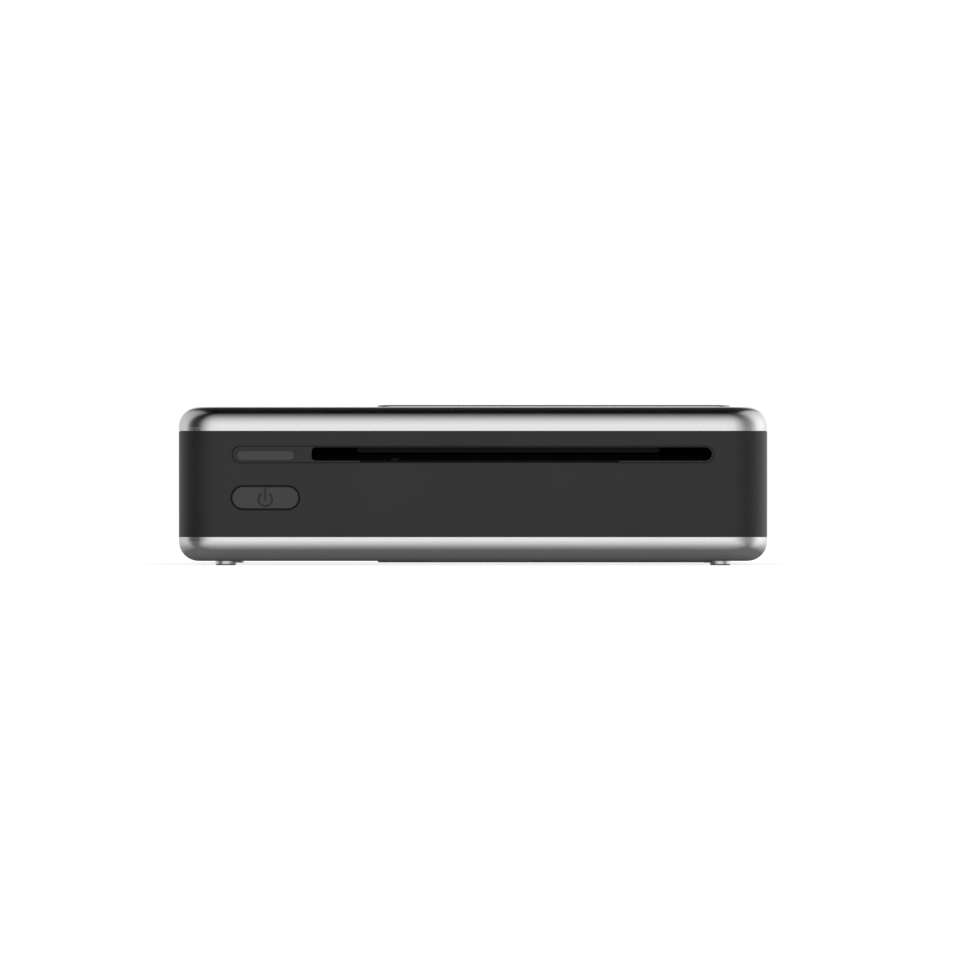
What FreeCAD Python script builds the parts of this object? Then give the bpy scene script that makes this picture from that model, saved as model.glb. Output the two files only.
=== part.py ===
import FreeCAD, Part
import math
import os

# Compact photo printer, millimetres, +Z up.
# Origin: centre of the footprint, on the surface that the feet stand on.
# +X is right and -Y is front, as the printer faces its user.

Vector = FreeCAD.Vector
X_AXIS = Vector(1, 0, 0)
Y_AXIS = Vector(0, 1, 0)
Z_AXIS = Vector(0, 0, 1)

# Driving sizes: the sheet, and the room that the works need round a pack of sheets
sheet_width = 50.0
sheet_length = 76.0
exit_length = 13.0
pick_behind_bay = 7.0
hinge_zone = 8.0
gear_zone = 15.6
right_zone = 5.6
stack_height = 3.45
shell_height = 3.0
shell_skin = 1.2
band_wall = 1.5
deck_thickness = 1.0
foot_height = 0.55
corner_radius = 5.0
edge_room = 0.5
edge_radius = shell_height - edge_room
overrun = 1.0

# Clearances
lid_gap = 0.05
hinge_gap = 0.35
side_gap = 0.2
running_gap = 0.05
fit_gap = 0.03
reach_gap = 0.1
nip_gap = 0.2

# Motor, and the gears that set how low it hangs
motor_radius = 4.0
motor_length = 12.0
motor_floor_gap = 0.527
motor_shaft_radius = 0.5
motor_boss_radius = 1.6
motor_boss = 0.5
motor_screw_radius = 0.45
motor_screw_head_radius = 0.8
motor_screw_head = 0.3
motor_screw_circle = 3.0
gear_module = 0.4
fine_module = 0.3
roller_teeth = 18
platen_idler_teeth = 16
pick_idler_teeth = 22
reduction_small_teeth = 10
reduction_large_teeth = 20
motor_teeth = 10
reduction_angle = -60.0
motor_angle = 8.0
platen_span_share = 0.8456
pick_span_share = 0.96875
platen_to_feed = platen_span_share * gear_module * (roller_teeth + platen_idler_teeth)
feed_to_pick = pick_span_share * gear_module * (roller_teeth + pick_idler_teeth)
roller_pitch_room = 0.1
roller_radius = gear_module * roller_teeth / 2 - roller_pitch_room
roller_to_reduction = gear_module * (roller_teeth + reduction_small_teeth) / 2
reduction_to_motor = fine_module * (reduction_large_teeth + motor_teeth) / 2
train_drop = (roller_to_reduction * math.sin(math.radians(-reduction_angle))
              - reduction_to_motor * math.sin(math.radians(motor_angle)))

# Tray
tray_wall = 1.0
tray_floor = 1.0
path_drop = 0.7
bay_side_room = 0.4
stack_room = 2.0
tray_nose = 4.0
tray_tab_left = 4.0
tray_tab_right = 2.0
tray_tab_depth = 5.0
tray_tab_rear_room = 2.0
ledge_depth = 6.0
tray_rail_width = 1.2
tray_rail_height = 0.2
tray_rail_spacing = 32.0

# The body's outside, built up from the tray and the room round it
tray_width = sheet_width + 2 * (bay_side_room + tray_wall)
tray_length = sheet_length + stack_room + tray_wall
body_width = gear_zone + tray_width + right_zone
works_length = exit_length + platen_to_feed + feed_to_pick - pick_behind_bay
body_depth = works_length + tray_length + hinge_zone
half_width = body_width / 2
half_depth = body_depth / 2
front_y = -half_depth
rear_y = half_depth
inner_x = half_width - band_wall
inner_y = half_depth - band_wall

# Levels
floor_top = foot_height + shell_skin
band_bottom = foot_height + shell_height
path_z = floor_top + motor_floor_gap + motor_radius + train_drop + roller_radius
tray_floor_top = path_z - path_drop
tray_floor_bottom = tray_floor_top - tray_floor
tray_wall_top = tray_floor_top + stack_height
band_top = tray_wall_top + reach_gap
cover_bottom = band_top + lid_gap
cover_top = cover_bottom + shell_height

# Places of the tray and the bay
tray_left = -half_width + gear_zone
tray_right = half_width - right_zone
bay_left = tray_left + tray_wall
bay_right = tray_right - tray_wall
bay_centre_x = (bay_left + bay_right) / 2
stack_front = front_y + works_length
tray_front = stack_front - tray_nose
tray_rear = rear_y - hinge_zone - tray_wall

# Cover hinge: a half round rear edge on two knuckles of the rear strip
hinge_radius = shell_height / 2
hinge_y = rear_y - hinge_zone - hinge_radius
hinge_z = cover_bottom + hinge_radius
knuckle_radius = hinge_radius - reach_gap
knuckle_width = 4.0
knuckle_inset = 10.0
knuckle_x = half_width - knuckle_inset
knuckle_front_room = 2.2
strip_front = hinge_y + hinge_radius + hinge_gap
pin_radius = 0.6
pin_reach = 5.0
barrel_web = 2.5

# Tongues that hold the closed cover between the band's side walls
tongue_length = 8.0
tongue_thickness = 0.8
tongue_drop = 2.5
tongue_front_inset = 10.0
tongue_y = front_y + tongue_front_inset + tongue_length / 2

# Raised plates on the cover and underneath
plate_left_inset = 24.95
plate_right_inset = 4.57
plate_end_inset = 14.0
plate_corner = 2.0
cover_plate_rise = 0.29
base_plate_drop = 0.21
plate_seat = 0.4
plate_edge = 0.12
plate_left = -half_width + plate_left_inset
plate_right = half_width - plate_right_inset
plate_front = front_y + plate_end_inset
plate_rear = rear_y - plate_end_inset

# Feet
foot_side_inset = 5.86
foot_end_inset = 10.0
foot_radius = 1.3
foot_edge = 0.14
foot_seat = 0.5
foot_x = half_width - foot_side_inset
foot_y = half_depth - foot_end_inset

# Front face: slot bezel, print slot, light and button
slot_below_path = 0.86
slot_above_path = 0.85
slot_side_room = 0.13
slot_end_room = 0.3
slot_notch_drop = 0.24
slot_corner = 0.5
slot_notch_left_room = 6.07
slot_notch_right_room = 11.65
bezel_corner_room = 1.7
bezel_end_inset = corner_radius + bezel_corner_room
bezel_lower_lip = 0.30
bezel_upper_lip = 0.18
bezel_gap = 0.09
bezel_sink = 0.08
bezel_flange = 0.8
bezel_flange_room = 0.6
bezel_flange_reach = bezel_corner_room - bezel_flange_room
slot_bottom = path_z - slot_below_path
slot_top = path_z + slot_above_path
bezel_bottom = slot_bottom - bezel_lower_lip
bezel_top = slot_top + bezel_upper_lip
bezel_half_length = half_width - bezel_end_inset
slot_left = bay_left + slot_side_room
slot_right = bezel_half_length - slot_end_room
lens_end_room = 0.65
lens_slot_gap = 2.2
lens_height = 1.13
lens_lift = 0.4
lens_flange = 0.6
lens_flange_reach = 0.45
lens_left = -bezel_half_length + lens_end_room
lens_right = slot_left - lens_slot_gap
lens_bottom = bezel_bottom + lens_lift
lens_top = lens_bottom + lens_height
button_side_share = 0.7
button_drop = 5.51
button_length_share = 0.548
button_length = gear_zone * button_length_share
button_height = 2.95
button_seam = 0.22
button_flange = 0.8
button_flange_reach = 0.9
button_travel = 0.4
plunger_radius = 1.0
plunger_length = 1.5
button_stop_gap = 0.05
button_x = -half_width + gear_zone * button_side_share
button_z = path_z - button_drop

# Finger scoops in the sides of the band
scoop_radius = 1.1
scoop_length = 16.0
scoop_depth = 0.9
scoop_drop = 1.3

# Print frame: two side plates and two cross strips of one bent sheet
frame_sheet = 0.8
frame_room = 0.2
frame_front_inset = 4.0
frame_behind_bay = 13.0
frame_step_gap = 0.5
frame_lift = 1.25
frame_top_room = 1.0
frame_front_strip = 6.0
frame_rear_strip = 7.0
frame_screw_inset = 3.5
frame_left = tray_left - frame_room
frame_right = tray_right + frame_room
frame_front = front_y + frame_front_inset
frame_rear = stack_front + frame_behind_bay
frame_step_y = tray_front - frame_step_gap
frame_bottom = floor_top + frame_lift
frame_top = cover_top - shell_skin - frame_top_room
frame_low_top = tray_floor_bottom

# Sheet path and rollers
pick_drop = 0.4
shaft_radius = 1.0
shaft_core_share = 0.4
bush_flange_reach = 0.3
bush_flange = 0.35
roller_side_gap = 1.0
feed_sleeve_length = 10.0
feed_sleeve_spacing = 24.0
pick_roller_width = 10.0
pinch_radius = 1.8
pinch_core_radius = 0.8
roller_z = path_z - roller_radius
pick_radius = roller_radius - pick_drop
shaft_core_radius = roller_radius * shaft_core_share
bush_radius = shaft_core_radius
bush_flange_radius = bush_radius + bush_flange_reach
platen_y = front_y + exit_length
feed_y = platen_y + platen_to_feed
pick_y = feed_y + feed_to_pick
pinch_y = feed_y
pinch_z = path_z + nip_gap + pinch_radius

# Bridge over the head
bridge_sheet = 0.6
bridge_depth = 10.0
bridge_window_share = 0.5

# Thermal head and its pivot
head_before_platen = 3.5
head_behind_platen = 5.0
head_side_gap = 0.8
head_strip = 0.8
heatsink_thickness = 1.5
head_pivot_behind = 7.4
head_pivot_rise = 1.9
head_pivot_radius = 0.6
head_lug_radius = 1.1
head_lug_width = 2.0
head_spring_radius = 1.4
head_spring_wire = 0.35
head_spring_spacing = 15.0
head_spring_behind = 1.0
head_spring_pocket = 0.9
head_front = platen_y - head_before_platen
head_rear = platen_y + head_behind_platen
heatsink_top = path_z + nip_gap + head_strip + heatsink_thickness
head_pivot_y = platen_y + head_pivot_behind
head_pivot_z = path_z + head_pivot_rise
head_spring_x = tuple(bay_centre_x + step * head_spring_spacing for step in (-1, 0, 1))
head_spring_y = platen_y + head_spring_behind
bridge_front = head_front
bridge_rear = head_front + bridge_depth

# Gears: one plane for the train and one for the motor stage
gear_plane_gap = 0.35
gear_width = 1.8
motor_gear_width = 1.6
tooth_height_share = 0.85
tooth_depth_share = 1.2
tooth_width_share = 0.44
tip_width_share = 0.2
root_width_share = 0.6
stud_radius = 0.7
stud_head_radius = 1.2
stud_head = 0.4

# Guides, gate and sheet sensor
gate_room = 0.4
gate_depth = 0.8
gate_round = 0.266
gate_lift = 0.3
gate_height = 2.9
guide_thickness = 0.8
guide_drop = 0.3
guide_platen_room = 3.0
guide_feed_room = 3.0
exit_front_lip = 0.6
exit_platen_room = 4.3
exit_floor = 1.0
exit_rib_left_room = 5.77
exit_rib_right_room = 6.6
exit_rib_height = 0.78
exit_roof = 0.5
exit_cheek = 0.8
exit_nub_width = 0.9
exit_nub_height = 0.3
exit_nub_room = 4.2
flag_side = 17.0
flag_behind_platen = 6.0
flag_pivot_drop = 2.4
flag_width = 1.2
flag_pin_radius = 0.4
flag_hub_radius = 0.8
flag_reach = 2.7
flag_thickness = 0.7
flag_tail = 2.0
flag_pin_reach = 1.1
flag_ear = 0.8
flag_slot_room = 0.5
sensor_width = 3.6
sensor_height = 2.6
sensor_depth = 2.0
gate_y = tray_front + gate_room
gate_bottom = path_z + gate_lift
gate_top = gate_bottom + gate_height
guide_top = path_z - guide_drop
guide_front = platen_y + guide_platen_room
guide_rear = feed_y - guide_feed_room
exit_rear = platen_y - exit_platen_room
exit_rib_left = slot_left + exit_rib_left_room
exit_rib_right = slot_right - exit_rib_right_room
exit_rib_top = slot_bottom + exit_rib_height
flag_x = bay_centre_x + flag_side
flag_pivot_y = platen_y + flag_behind_platen
flag_pivot_z = path_z - flag_pivot_drop

# Battery and boards
battery_side_inset = 11.5
battery_front_room = 3.0
battery_rear_inset = 15.0
battery_height = 5.0
battery_edge = 0.8
board_side_inset = 6.5
board_rear_inset = 4.0
board_front_room = 21.0
board_thickness = 1.0
board_room = 3.1
board_post_inset = 2.5
board_post_front_room = 9.0
board_post_rear_room = 4.0
board_post_radius = 1.6
button_board_front_room = 3.9
button_board_bottom_room = 2.75
button_board_top_room = 1.8
button_board_thickness = 0.8
button_board_side_room = 0.6
switch_size = 3.6
switch_depth = 1.0
switch_knob_radius = 0.8
led_share = 0.223
led_depth = 0.6
led_count = 3
battery_left = -half_width + battery_side_inset
battery_right = half_width - battery_side_inset
battery_front = frame_rear + battery_front_room
battery_rear = rear_y - battery_rear_inset
board_half_width = half_width - board_side_inset
board_rear = rear_y - board_rear_inset
board_front = battery_front + board_front_room
board_top = tray_floor_bottom - board_room
board_bottom = board_top - board_thickness
board_post_x = board_half_width - board_post_inset
board_post_front_y = board_front + board_post_front_room
board_post_rear_y = board_rear - board_post_rear_room
led_size = (lens_right - lens_left) * led_share
button_board_left = -inner_x + reach_gap
button_board_right = frame_left - frame_sheet - button_board_side_room
button_board_front = -inner_y + button_board_front_room
button_board_bottom = floor_top + button_board_bottom_room
button_board_top = path_z + button_board_top_room

# Charging socket
socket_x = 18.0
socket_width = 7.5
socket_height = 2.6
socket_wall = 0.3
socket_round = 0.86
socket_tongue_room = 0.9
socket_length = 6.8
socket_sink = 0.7
socket_room = 0.3
socket_tongue = 0.6
socket_rear = rear_y - socket_sink
socket_front = socket_rear - socket_length

# Screws
screw_radius = 0.55
screw_head_radius = 1.0
screw_head = 0.6
screw_slot = 0.3
screw_slot_depth = 0.3
screw_depth = 1.2
boss_radius = 1.5
shell_screw_inset = 3.5
shell_screw_front_room = 5.0
shell_screw_rear_inset = 16.0
shell_post_height = 3.95
strip_screw_spacing = 30.0
strip_screw_depth = 2.0
liner_screw_side_room = 1.6
liner_screw_front_room = 3.5
liner_screw_rear_room = 2.2
liner_screw_depth = 0.8
shell_screw_x = half_width - shell_screw_inset
shell_screw_front_y = frame_rear + shell_screw_front_room
shell_screw_rear_y = rear_y - shell_screw_rear_inset
shell_post_top = band_bottom + shell_post_height
strip_screw_x = strip_screw_spacing / 2
tray_tab_front_y = frame_rear + tray_tab_depth + overrun
tray_tab_rear_y = tray_rear - tray_tab_rear_room

# Cover liner and pressure plate
liner_thickness = 0.8
liner_corner_room = 1.6
liner_front_room = 1.5
liner_rear_room = 0.6
pressure_width = 20.0
pressure_length = 20.5
pressure_front_room = 0.5
pressure_drop = 2.3
pressure_pivot_drop = 1.0
pressure_thickness = 0.8
pressure_ear = 1.5
pressure_ear_radius = 0.95
pressure_pin_radius = 0.5
pressure_spring_spacing = 10.0
pressure_spring_room = 5.5
pressure_spring_radius = 1.5
pressure_spring_wire = 0.35
pressure_pocket_gap = 0.4
liner_top = cover_top - shell_skin
liner_bottom = liner_top - liner_thickness
liner_side_inset = corner_radius - liner_corner_room
liner_half_width = half_width - liner_side_inset
liner_front = tray_front + liner_front_room
cover_hollow_rear = hinge_y - knuckle_front_room - barrel_web
liner_rear = cover_hollow_rear - liner_rear_room
liner_screw_x = half_width - liner_side_inset - liner_screw_side_room
liner_screw_front_y = liner_front + liner_screw_front_room
liner_screw_rear_y = liner_rear - liner_screw_rear_room
pressure_left = bay_centre_x - pressure_width / 2
pressure_right = bay_centre_x + pressure_width / 2
pressure_front = stack_front + pressure_front_room
pressure_pivot_y = pressure_front + pressure_length
pressure_pivot_z = liner_bottom - pressure_pivot_drop
pressure_bottom = liner_bottom - pressure_drop
pressure_spring_y = pressure_front + pressure_spring_room
pressure_spring_x = tuple(bay_centre_x + side * pressure_spring_spacing / 2 for side in (-1, 1))

# Leads
battery_lead_radius = 0.3
motor_lead_radius = 0.4
head_lead_radius = 0.5
bend_share = 0.45
connector_height = 2.0
connector_width = 5.0
connector_depth = 4.4
connector_overhang = 0.4


def block(x0, x1, y0, y1, z0, z1):
    """A box between two corners."""
    return Part.makeBox(x1 - x0, y1 - y0, z1 - z0, Vector(x0, y0, z0))


def wedge_x(x0, x1, outline):
    """A bar along X whose section is a list of Y and Z places."""
    points = [Vector(x0, y, z) for y, z in outline]
    return Part.Face(Part.makePolygon(points + points[:1])).extrude(Vector(x1 - x0, 0, 0))


def rod_x(x0, x1, y, z, radius):
    """A round bar along X."""
    return Part.makeCylinder(radius, x1 - x0, Vector(x0, y, z), X_AXIS)


def rod_y(y0, y1, x, z, radius):
    """A round bar along Y."""
    return Part.makeCylinder(radius, y1 - y0, Vector(x, y0, z), Y_AXIS)


def rod_z(z0, z1, x, y, radius):
    """A round bar along Z."""
    return Part.makeCylinder(radius, z1 - z0, Vector(x, y, z0), Z_AXIS)


def pill_y(x0, x1, z0, z1, y0, y1):
    """A bar along Y whose section is a rectangle with fully round ends."""
    radius = (z1 - z0) / 2
    middle = (z0 + z1) / 2
    bar = block(x0 + radius, x1 - radius, y0, y1, z0, z1)
    left_end = rod_y(y0, y1, x0 + radius, middle, radius)
    right_end = rod_y(y0, y1, x1 - radius, middle, radius)
    return bar.fuse([left_end, right_end]).removeSplitter()


def slab(x0, x1, y0, y1, z0, z1, radius):
    """A box whose four upright edges are round."""
    body = block(x0, x1, y0, y1, z0, z1)
    upright = [edge for edge in body.Edges if edge.Vertexes[0].X == edge.Vertexes[1].X
               and edge.Vertexes[0].Y == edge.Vertexes[1].Y]
    return body.makeFillet(radius, upright)


def edges_at_height(shape, z):
    """The edges that lie wholly at one height."""
    found = []
    for edge in shape.Edges:
        box = edge.BoundBox
        if abs(box.ZMin - z) < fit_gap and abs(box.ZMax - z) < fit_gap:
            found.append(edge)
    return found


def union(first, *others):
    """Several shapes as one solid."""
    return first.fuse(list(others)).removeSplitter()


def group(shapes):
    """Separate solids that share one node."""
    return Part.makeCompound(shapes)


def mirror_places(x, y):
    """The four places at plus and minus x and y."""
    return [(side * x, end * y) for side in (-1, 1) for end in (-1, 1)]


# Screws

def screw_z(x, y, seat_z, length, way):
    """A pan head screw along Z: way is 1 where the shank points up, -1 where it points down."""
    head_end = seat_z - way * screw_head
    head = rod_z(min(seat_z, head_end), max(seat_z, head_end), x, y, screw_head_radius)
    tip = seat_z + way * length
    shank = rod_z(min(seat_z, tip), max(seat_z, tip), x, y, screw_radius)
    slot_end = head_end + way * screw_slot_depth
    low = min(head_end, slot_end)
    high = max(head_end, slot_end)
    arm = screw_head_radius - screw_slot
    long_slot = block(x - arm, x + arm, y - screw_slot / 2, y + screw_slot / 2, low, high)
    cross_slot = block(x - screw_slot / 2, x + screw_slot / 2, y - arm, y + arm, low, high)
    return union(head, shank).cut([long_slot, cross_slot])


def screw_hole_z(x, y, z0, z1):
    """The hole that takes a screw's shank."""
    return rod_z(z0, z1, x, y, screw_radius + fit_gap)


# Gears

def tooth_outline(module, teeth, phase):
    """The points of a gear's outline in the YZ plane, teeth counted from the phase angle."""
    pitch_radius = module * teeth / 2
    tip = pitch_radius + tooth_height_share * module
    root = pitch_radius - tooth_depth_share * module
    step = 2 * math.pi / teeth
    corners = (
        (root, -root_width_share / 2),
        (pitch_radius, -tooth_width_share / 2),
        (tip, -tip_width_share / 2),
        (tip, tip_width_share / 2),
        (pitch_radius, tooth_width_share / 2),
        (root, root_width_share / 2),
    )
    points = []
    for tooth in range(teeth):
        for radius, share in corners:
            angle = phase + (tooth + share) * step
            points.append((radius * math.cos(angle), radius * math.sin(angle)))
    return points


def gear_x(x0, x1, centre, module, teeth, phase, bore):
    """A spur gear along X round a bore."""
    points = [Vector(x0, centre[0] + y, centre[1] + z) for y, z in tooth_outline(module, teeth, phase)]
    face = Part.Face(Part.makePolygon(points + points[:1]))
    body = face.extrude(Vector(x1 - x0, 0, 0))
    return body.cut(rod_x(x0 - overrun, x1 + overrun, centre[0], centre[1], bore))


def mesh_phase(centre_a, phase_a, teeth_a, centre_b, teeth_b):
    """The phase that sets gear b's gap on gear a's tooth."""
    line = math.atan2(centre_b[1] - centre_a[1], centre_b[0] - centre_a[0])
    step_a = 2 * math.pi / teeth_a
    step_b = 2 * math.pi / teeth_b
    beyond_tooth = ((line - phase_a) / step_a) % 1
    return line + math.pi - step_b * (0.5 - beyond_tooth)


def gear_distance(module, teeth_a, teeth_b):
    """The distance between the axes of two gears in mesh."""
    return module * (teeth_a + teeth_b) / 2


def between(y_a, y_b, z, distance, way):
    """The axis of an idler at one distance from two axes at the same height, above or below."""
    half_span = (y_b - y_a) / 2
    rise = math.sqrt(distance ** 2 - half_span ** 2)
    return (y_a + half_span, z + way * rise)


def off_centre(centre, distance, degrees):
    """A place at a distance and an angle from a centre, in the YZ plane."""
    angle = math.radians(degrees)
    return (centre[0] + distance * math.cos(angle), centre[1] + distance * math.sin(angle))


platen_centre = (platen_y, roller_z)
feed_centre = (feed_y, roller_z)
pick_centre = (pick_y, roller_z)
platen_idler_centre = between(
    platen_y, feed_y, roller_z, gear_distance(gear_module, roller_teeth, platen_idler_teeth), -1)
pick_idler_centre = between(
    feed_y, pick_y, roller_z, gear_distance(gear_module, roller_teeth, pick_idler_teeth), 1)
reduction_centre = off_centre(feed_centre, roller_to_reduction, reduction_angle)
motor_centre = off_centre(reduction_centre, reduction_to_motor, motor_angle)

feed_phase = 0.0
platen_idler_phase = mesh_phase(
    feed_centre, feed_phase, roller_teeth, platen_idler_centre, platen_idler_teeth)
platen_phase = mesh_phase(
    platen_idler_centre, platen_idler_phase, platen_idler_teeth, platen_centre, roller_teeth)
pick_idler_phase = mesh_phase(
    feed_centre, feed_phase, roller_teeth, pick_idler_centre, pick_idler_teeth)
pick_phase = mesh_phase(
    pick_idler_centre, pick_idler_phase, pick_idler_teeth, pick_centre, roller_teeth)
reduction_phase = mesh_phase(
    feed_centre, feed_phase, roller_teeth, reduction_centre, reduction_small_teeth)
motor_phase = mesh_phase(
    reduction_centre, reduction_phase, reduction_large_teeth, motor_centre, motor_teeth)

# Planes of the gears, outside the left side plate
plate_outer_left = frame_left - frame_sheet
train_right = plate_outer_left - gear_plane_gap
train_left = train_right - gear_width
motor_plane_right = train_left - gear_plane_gap
motor_plane_left = motor_plane_right - motor_gear_width
plate_outer_right = frame_right + frame_sheet


# Casing

def body_slab(z0, z1, inset):
    """The body's plan between two levels, drawn in by an inset."""
    return slab(-half_width + inset, half_width - inset, -half_depth + inset, half_depth - inset,
                z0, z1, corner_radius - inset)


def closed_shell(z0, z1, outer_z):
    """A shell's full outer form, rounded all round at its outer level."""
    body = body_slab(z0, z1, 0)
    return body.makeFillet(edge_radius, edges_at_height(body, outer_z))


def bottom_shell():
    body = closed_shell(foot_height, band_bottom, foot_height)
    hollow = body_slab(floor_top, band_bottom + overrun, band_wall)
    hollow = hollow.makeFillet(edge_radius - shell_skin, edges_at_height(hollow, floor_top))
    body = body.cut(hollow)
    posts = []
    holes = []
    for x, y in board_posts():
        posts.append(rod_z(floor_top, board_bottom, x, y, board_post_radius))
        holes.append(screw_hole_z(x, y, floor_top, board_bottom + overrun))
    for x, y in frame_screw_places():
        posts.append(rod_z(floor_top, frame_bottom, x, y, boss_radius))
        holes.append(screw_hole_z(x, y, foot_height + shell_skin / 2, frame_bottom + overrun))
    for x, y in shell_screw_places():
        posts.append(rod_z(floor_top, band_bottom, x, y, boss_radius))
        holes.append(screw_hole_z(x, y, 0, band_bottom + overrun))
        holes.append(rod_z(0, foot_height + screw_head, x, y, screw_head_radius + reach_gap))
    for x, y in mirror_places(foot_x, foot_y):
        holes.append(rod_z(0, foot_height + foot_seat, x, y, foot_radius))
    holes.append(slab(plate_left, plate_right, plate_front, plate_rear, 0, foot_height + plate_seat,
                      plate_corner))
    return body.fuse(posts).removeSplitter().cut(holes)


def board_posts():
    """The four places where the main board is screwed down."""
    ys = (board_post_front_y, board_post_rear_y)
    return [(side * board_post_x, y) for side in (-1, 1) for y in ys]


def frame_screw_places():
    """The four places where the print frame is screwed down."""
    xs = (frame_left + frame_screw_inset, frame_right - frame_screw_inset)
    ys = (frame_front + frame_front_strip / 2, frame_rear - frame_rear_strip / 2)
    return [(x, y) for x in xs for y in ys]


def shell_screw_places():
    """The four places where the bottom shell is screwed to the band."""
    ys = (shell_screw_front_y, shell_screw_rear_y)
    return [(side * shell_screw_x, y) for side in (-1, 1) for y in ys]


def raised_plate(z0, z1, outer_z):
    """A thin plate with round corners and a broken outer edge."""
    body = slab(plate_left, plate_right, plate_front, plate_rear, z0, z1, plate_corner)
    return body.makeChamfer(plate_edge, edges_at_height(body, outer_z))


def base_plate():
    lowest = foot_height - base_plate_drop
    return raised_plate(lowest, foot_height + plate_seat, lowest)


def foot(x, y):
    body = rod_z(0, foot_height + foot_seat, x, y, foot_radius)
    return body.makeChamfer(foot_edge, edges_at_height(body, 0))


def middle_housing():
    body = body_slab(band_bottom, band_top, 0).cut(
        body_slab(band_bottom - overrun, band_top + overrun, band_wall))
    deck = block(-inner_x, inner_x, strip_front, inner_y, band_top - deck_thickness, band_top)
    ledges = [ledge(side, y) for side in (-1, 1) for y in (tray_tab_front_y, tray_tab_rear_y)]
    posts = []
    for x, y in shell_screw_places():
        post = rod_z(band_bottom, shell_post_top, x, y, boss_radius)
        web = block(min(x, math.copysign(inner_x, x)), max(x, math.copysign(inner_x, x)),
                    y - band_wall / 2, y + band_wall / 2, band_bottom, shell_post_top)
        posts.append(union(post, web))
    body = body.fuse([deck] + ledges + posts).removeSplitter()
    holes = [
        pill_y(-bezel_half_length, bezel_half_length, bezel_bottom, bezel_top,
               -half_depth - overrun, -inner_y + overrun),
        button_pill(button_seam / 2, -half_depth - overrun, -inner_y + overrun),
        socket_hole(),
    ]
    scoop_x = half_width + scoop_radius - scoop_depth
    for side in (-1, 1):
        holes.append(rod_y(-scoop_length / 2, scoop_length / 2, side * scoop_x, band_top - scoop_drop,
                           scoop_radius))
    for x, y in shell_screw_places():
        holes.append(screw_hole_z(x, y, band_bottom - overrun, shell_post_top - overrun))
    for x in (-strip_screw_x, strip_screw_x):
        holes.append(screw_hole_z(x, strip_screw_y(), band_top - deck_thickness - overrun,
                                  band_top + overrun))
    return body.cut(holes)


def ledge(side, y):
    """A ledge inside a side wall, under one of the tray's tabs."""
    if side < 0:
        reach = tray_left - tray_tab_left / 2
    else:
        reach = tray_right + tray_tab_right / 2
    return block(min(side * inner_x, reach), max(side * inner_x, reach), y - ledge_depth / 2,
                 y + ledge_depth / 2, tray_floor_bottom - tray_floor, tray_floor_bottom)


def strip_screw_y():
    return (strip_front + inner_y) / 2


def button_pill(grow, y0, y1):
    """The button's outline, grown all round, between two depths."""
    return pill_y(button_x - button_length / 2 - grow, button_x + button_length / 2 + grow,
                  button_z - button_height / 2 - grow, button_z + button_height / 2 + grow, y0, y1)


def socket_hole():
    """The opening in the rear wall round the charging socket."""
    reach = socket_width / 2 + socket_room
    base = board_bottom + board_thickness
    return pill_y(socket_x - reach, socket_x + reach, base - socket_room,
                  base + socket_height + socket_room, inner_y - overrun, half_depth + overrun)


def slot_bezel():
    front = -half_depth + bezel_sink
    back = -inner_y + bezel_flange
    face = pill_y(-bezel_half_length + bezel_gap, bezel_half_length - bezel_gap,
                  bezel_bottom + bezel_gap, bezel_top - bezel_gap, front, back)
    flange = block(-bezel_half_length - bezel_flange_reach, bezel_half_length + bezel_flange_reach,
                   -inner_y, back, bezel_bottom - bezel_flange_reach, bezel_top + bezel_flange_reach)
    window = pill_y(lens_left - fit_gap, lens_right + fit_gap, lens_bottom - fit_gap, lens_top + fit_gap,
                    front - overrun, back + overrun)
    slot = block(slot_left, slot_right - (slot_top - slot_bottom) / 2, front - overrun, back + overrun,
                 slot_bottom, slot_top)
    slot_corners = [edge for edge in slot.Edges if edge.BoundBox.XMax < slot_left + fit_gap
                    and edge.BoundBox.YLength > bezel_flange]
    slot = slot.makeFillet(slot_corner, slot_corners)
    slot_end = rod_y(front - overrun, back + overrun, slot_right - (slot_top - slot_bottom) / 2,
                     (slot_bottom + slot_top) / 2, (slot_top - slot_bottom) / 2)
    notch = block(slot_left + slot_notch_left_room, slot_right - slot_notch_right_room, front - overrun,
                  back + overrun, slot_bottom - slot_notch_drop, slot_top)
    return union(face, flange).cut([window, slot, slot_end, notch])


def led_lens():
    back = -inner_y + bezel_flange
    face = pill_y(lens_left, lens_right, lens_bottom, lens_top, -half_depth + bezel_sink, back + lens_flange)
    flange = block(lens_left - lens_flange_reach, lens_right + lens_flange_reach, back, back + lens_flange,
                   lens_bottom - lens_flange_reach, lens_top + lens_flange_reach)
    return union(face, flange)


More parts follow.
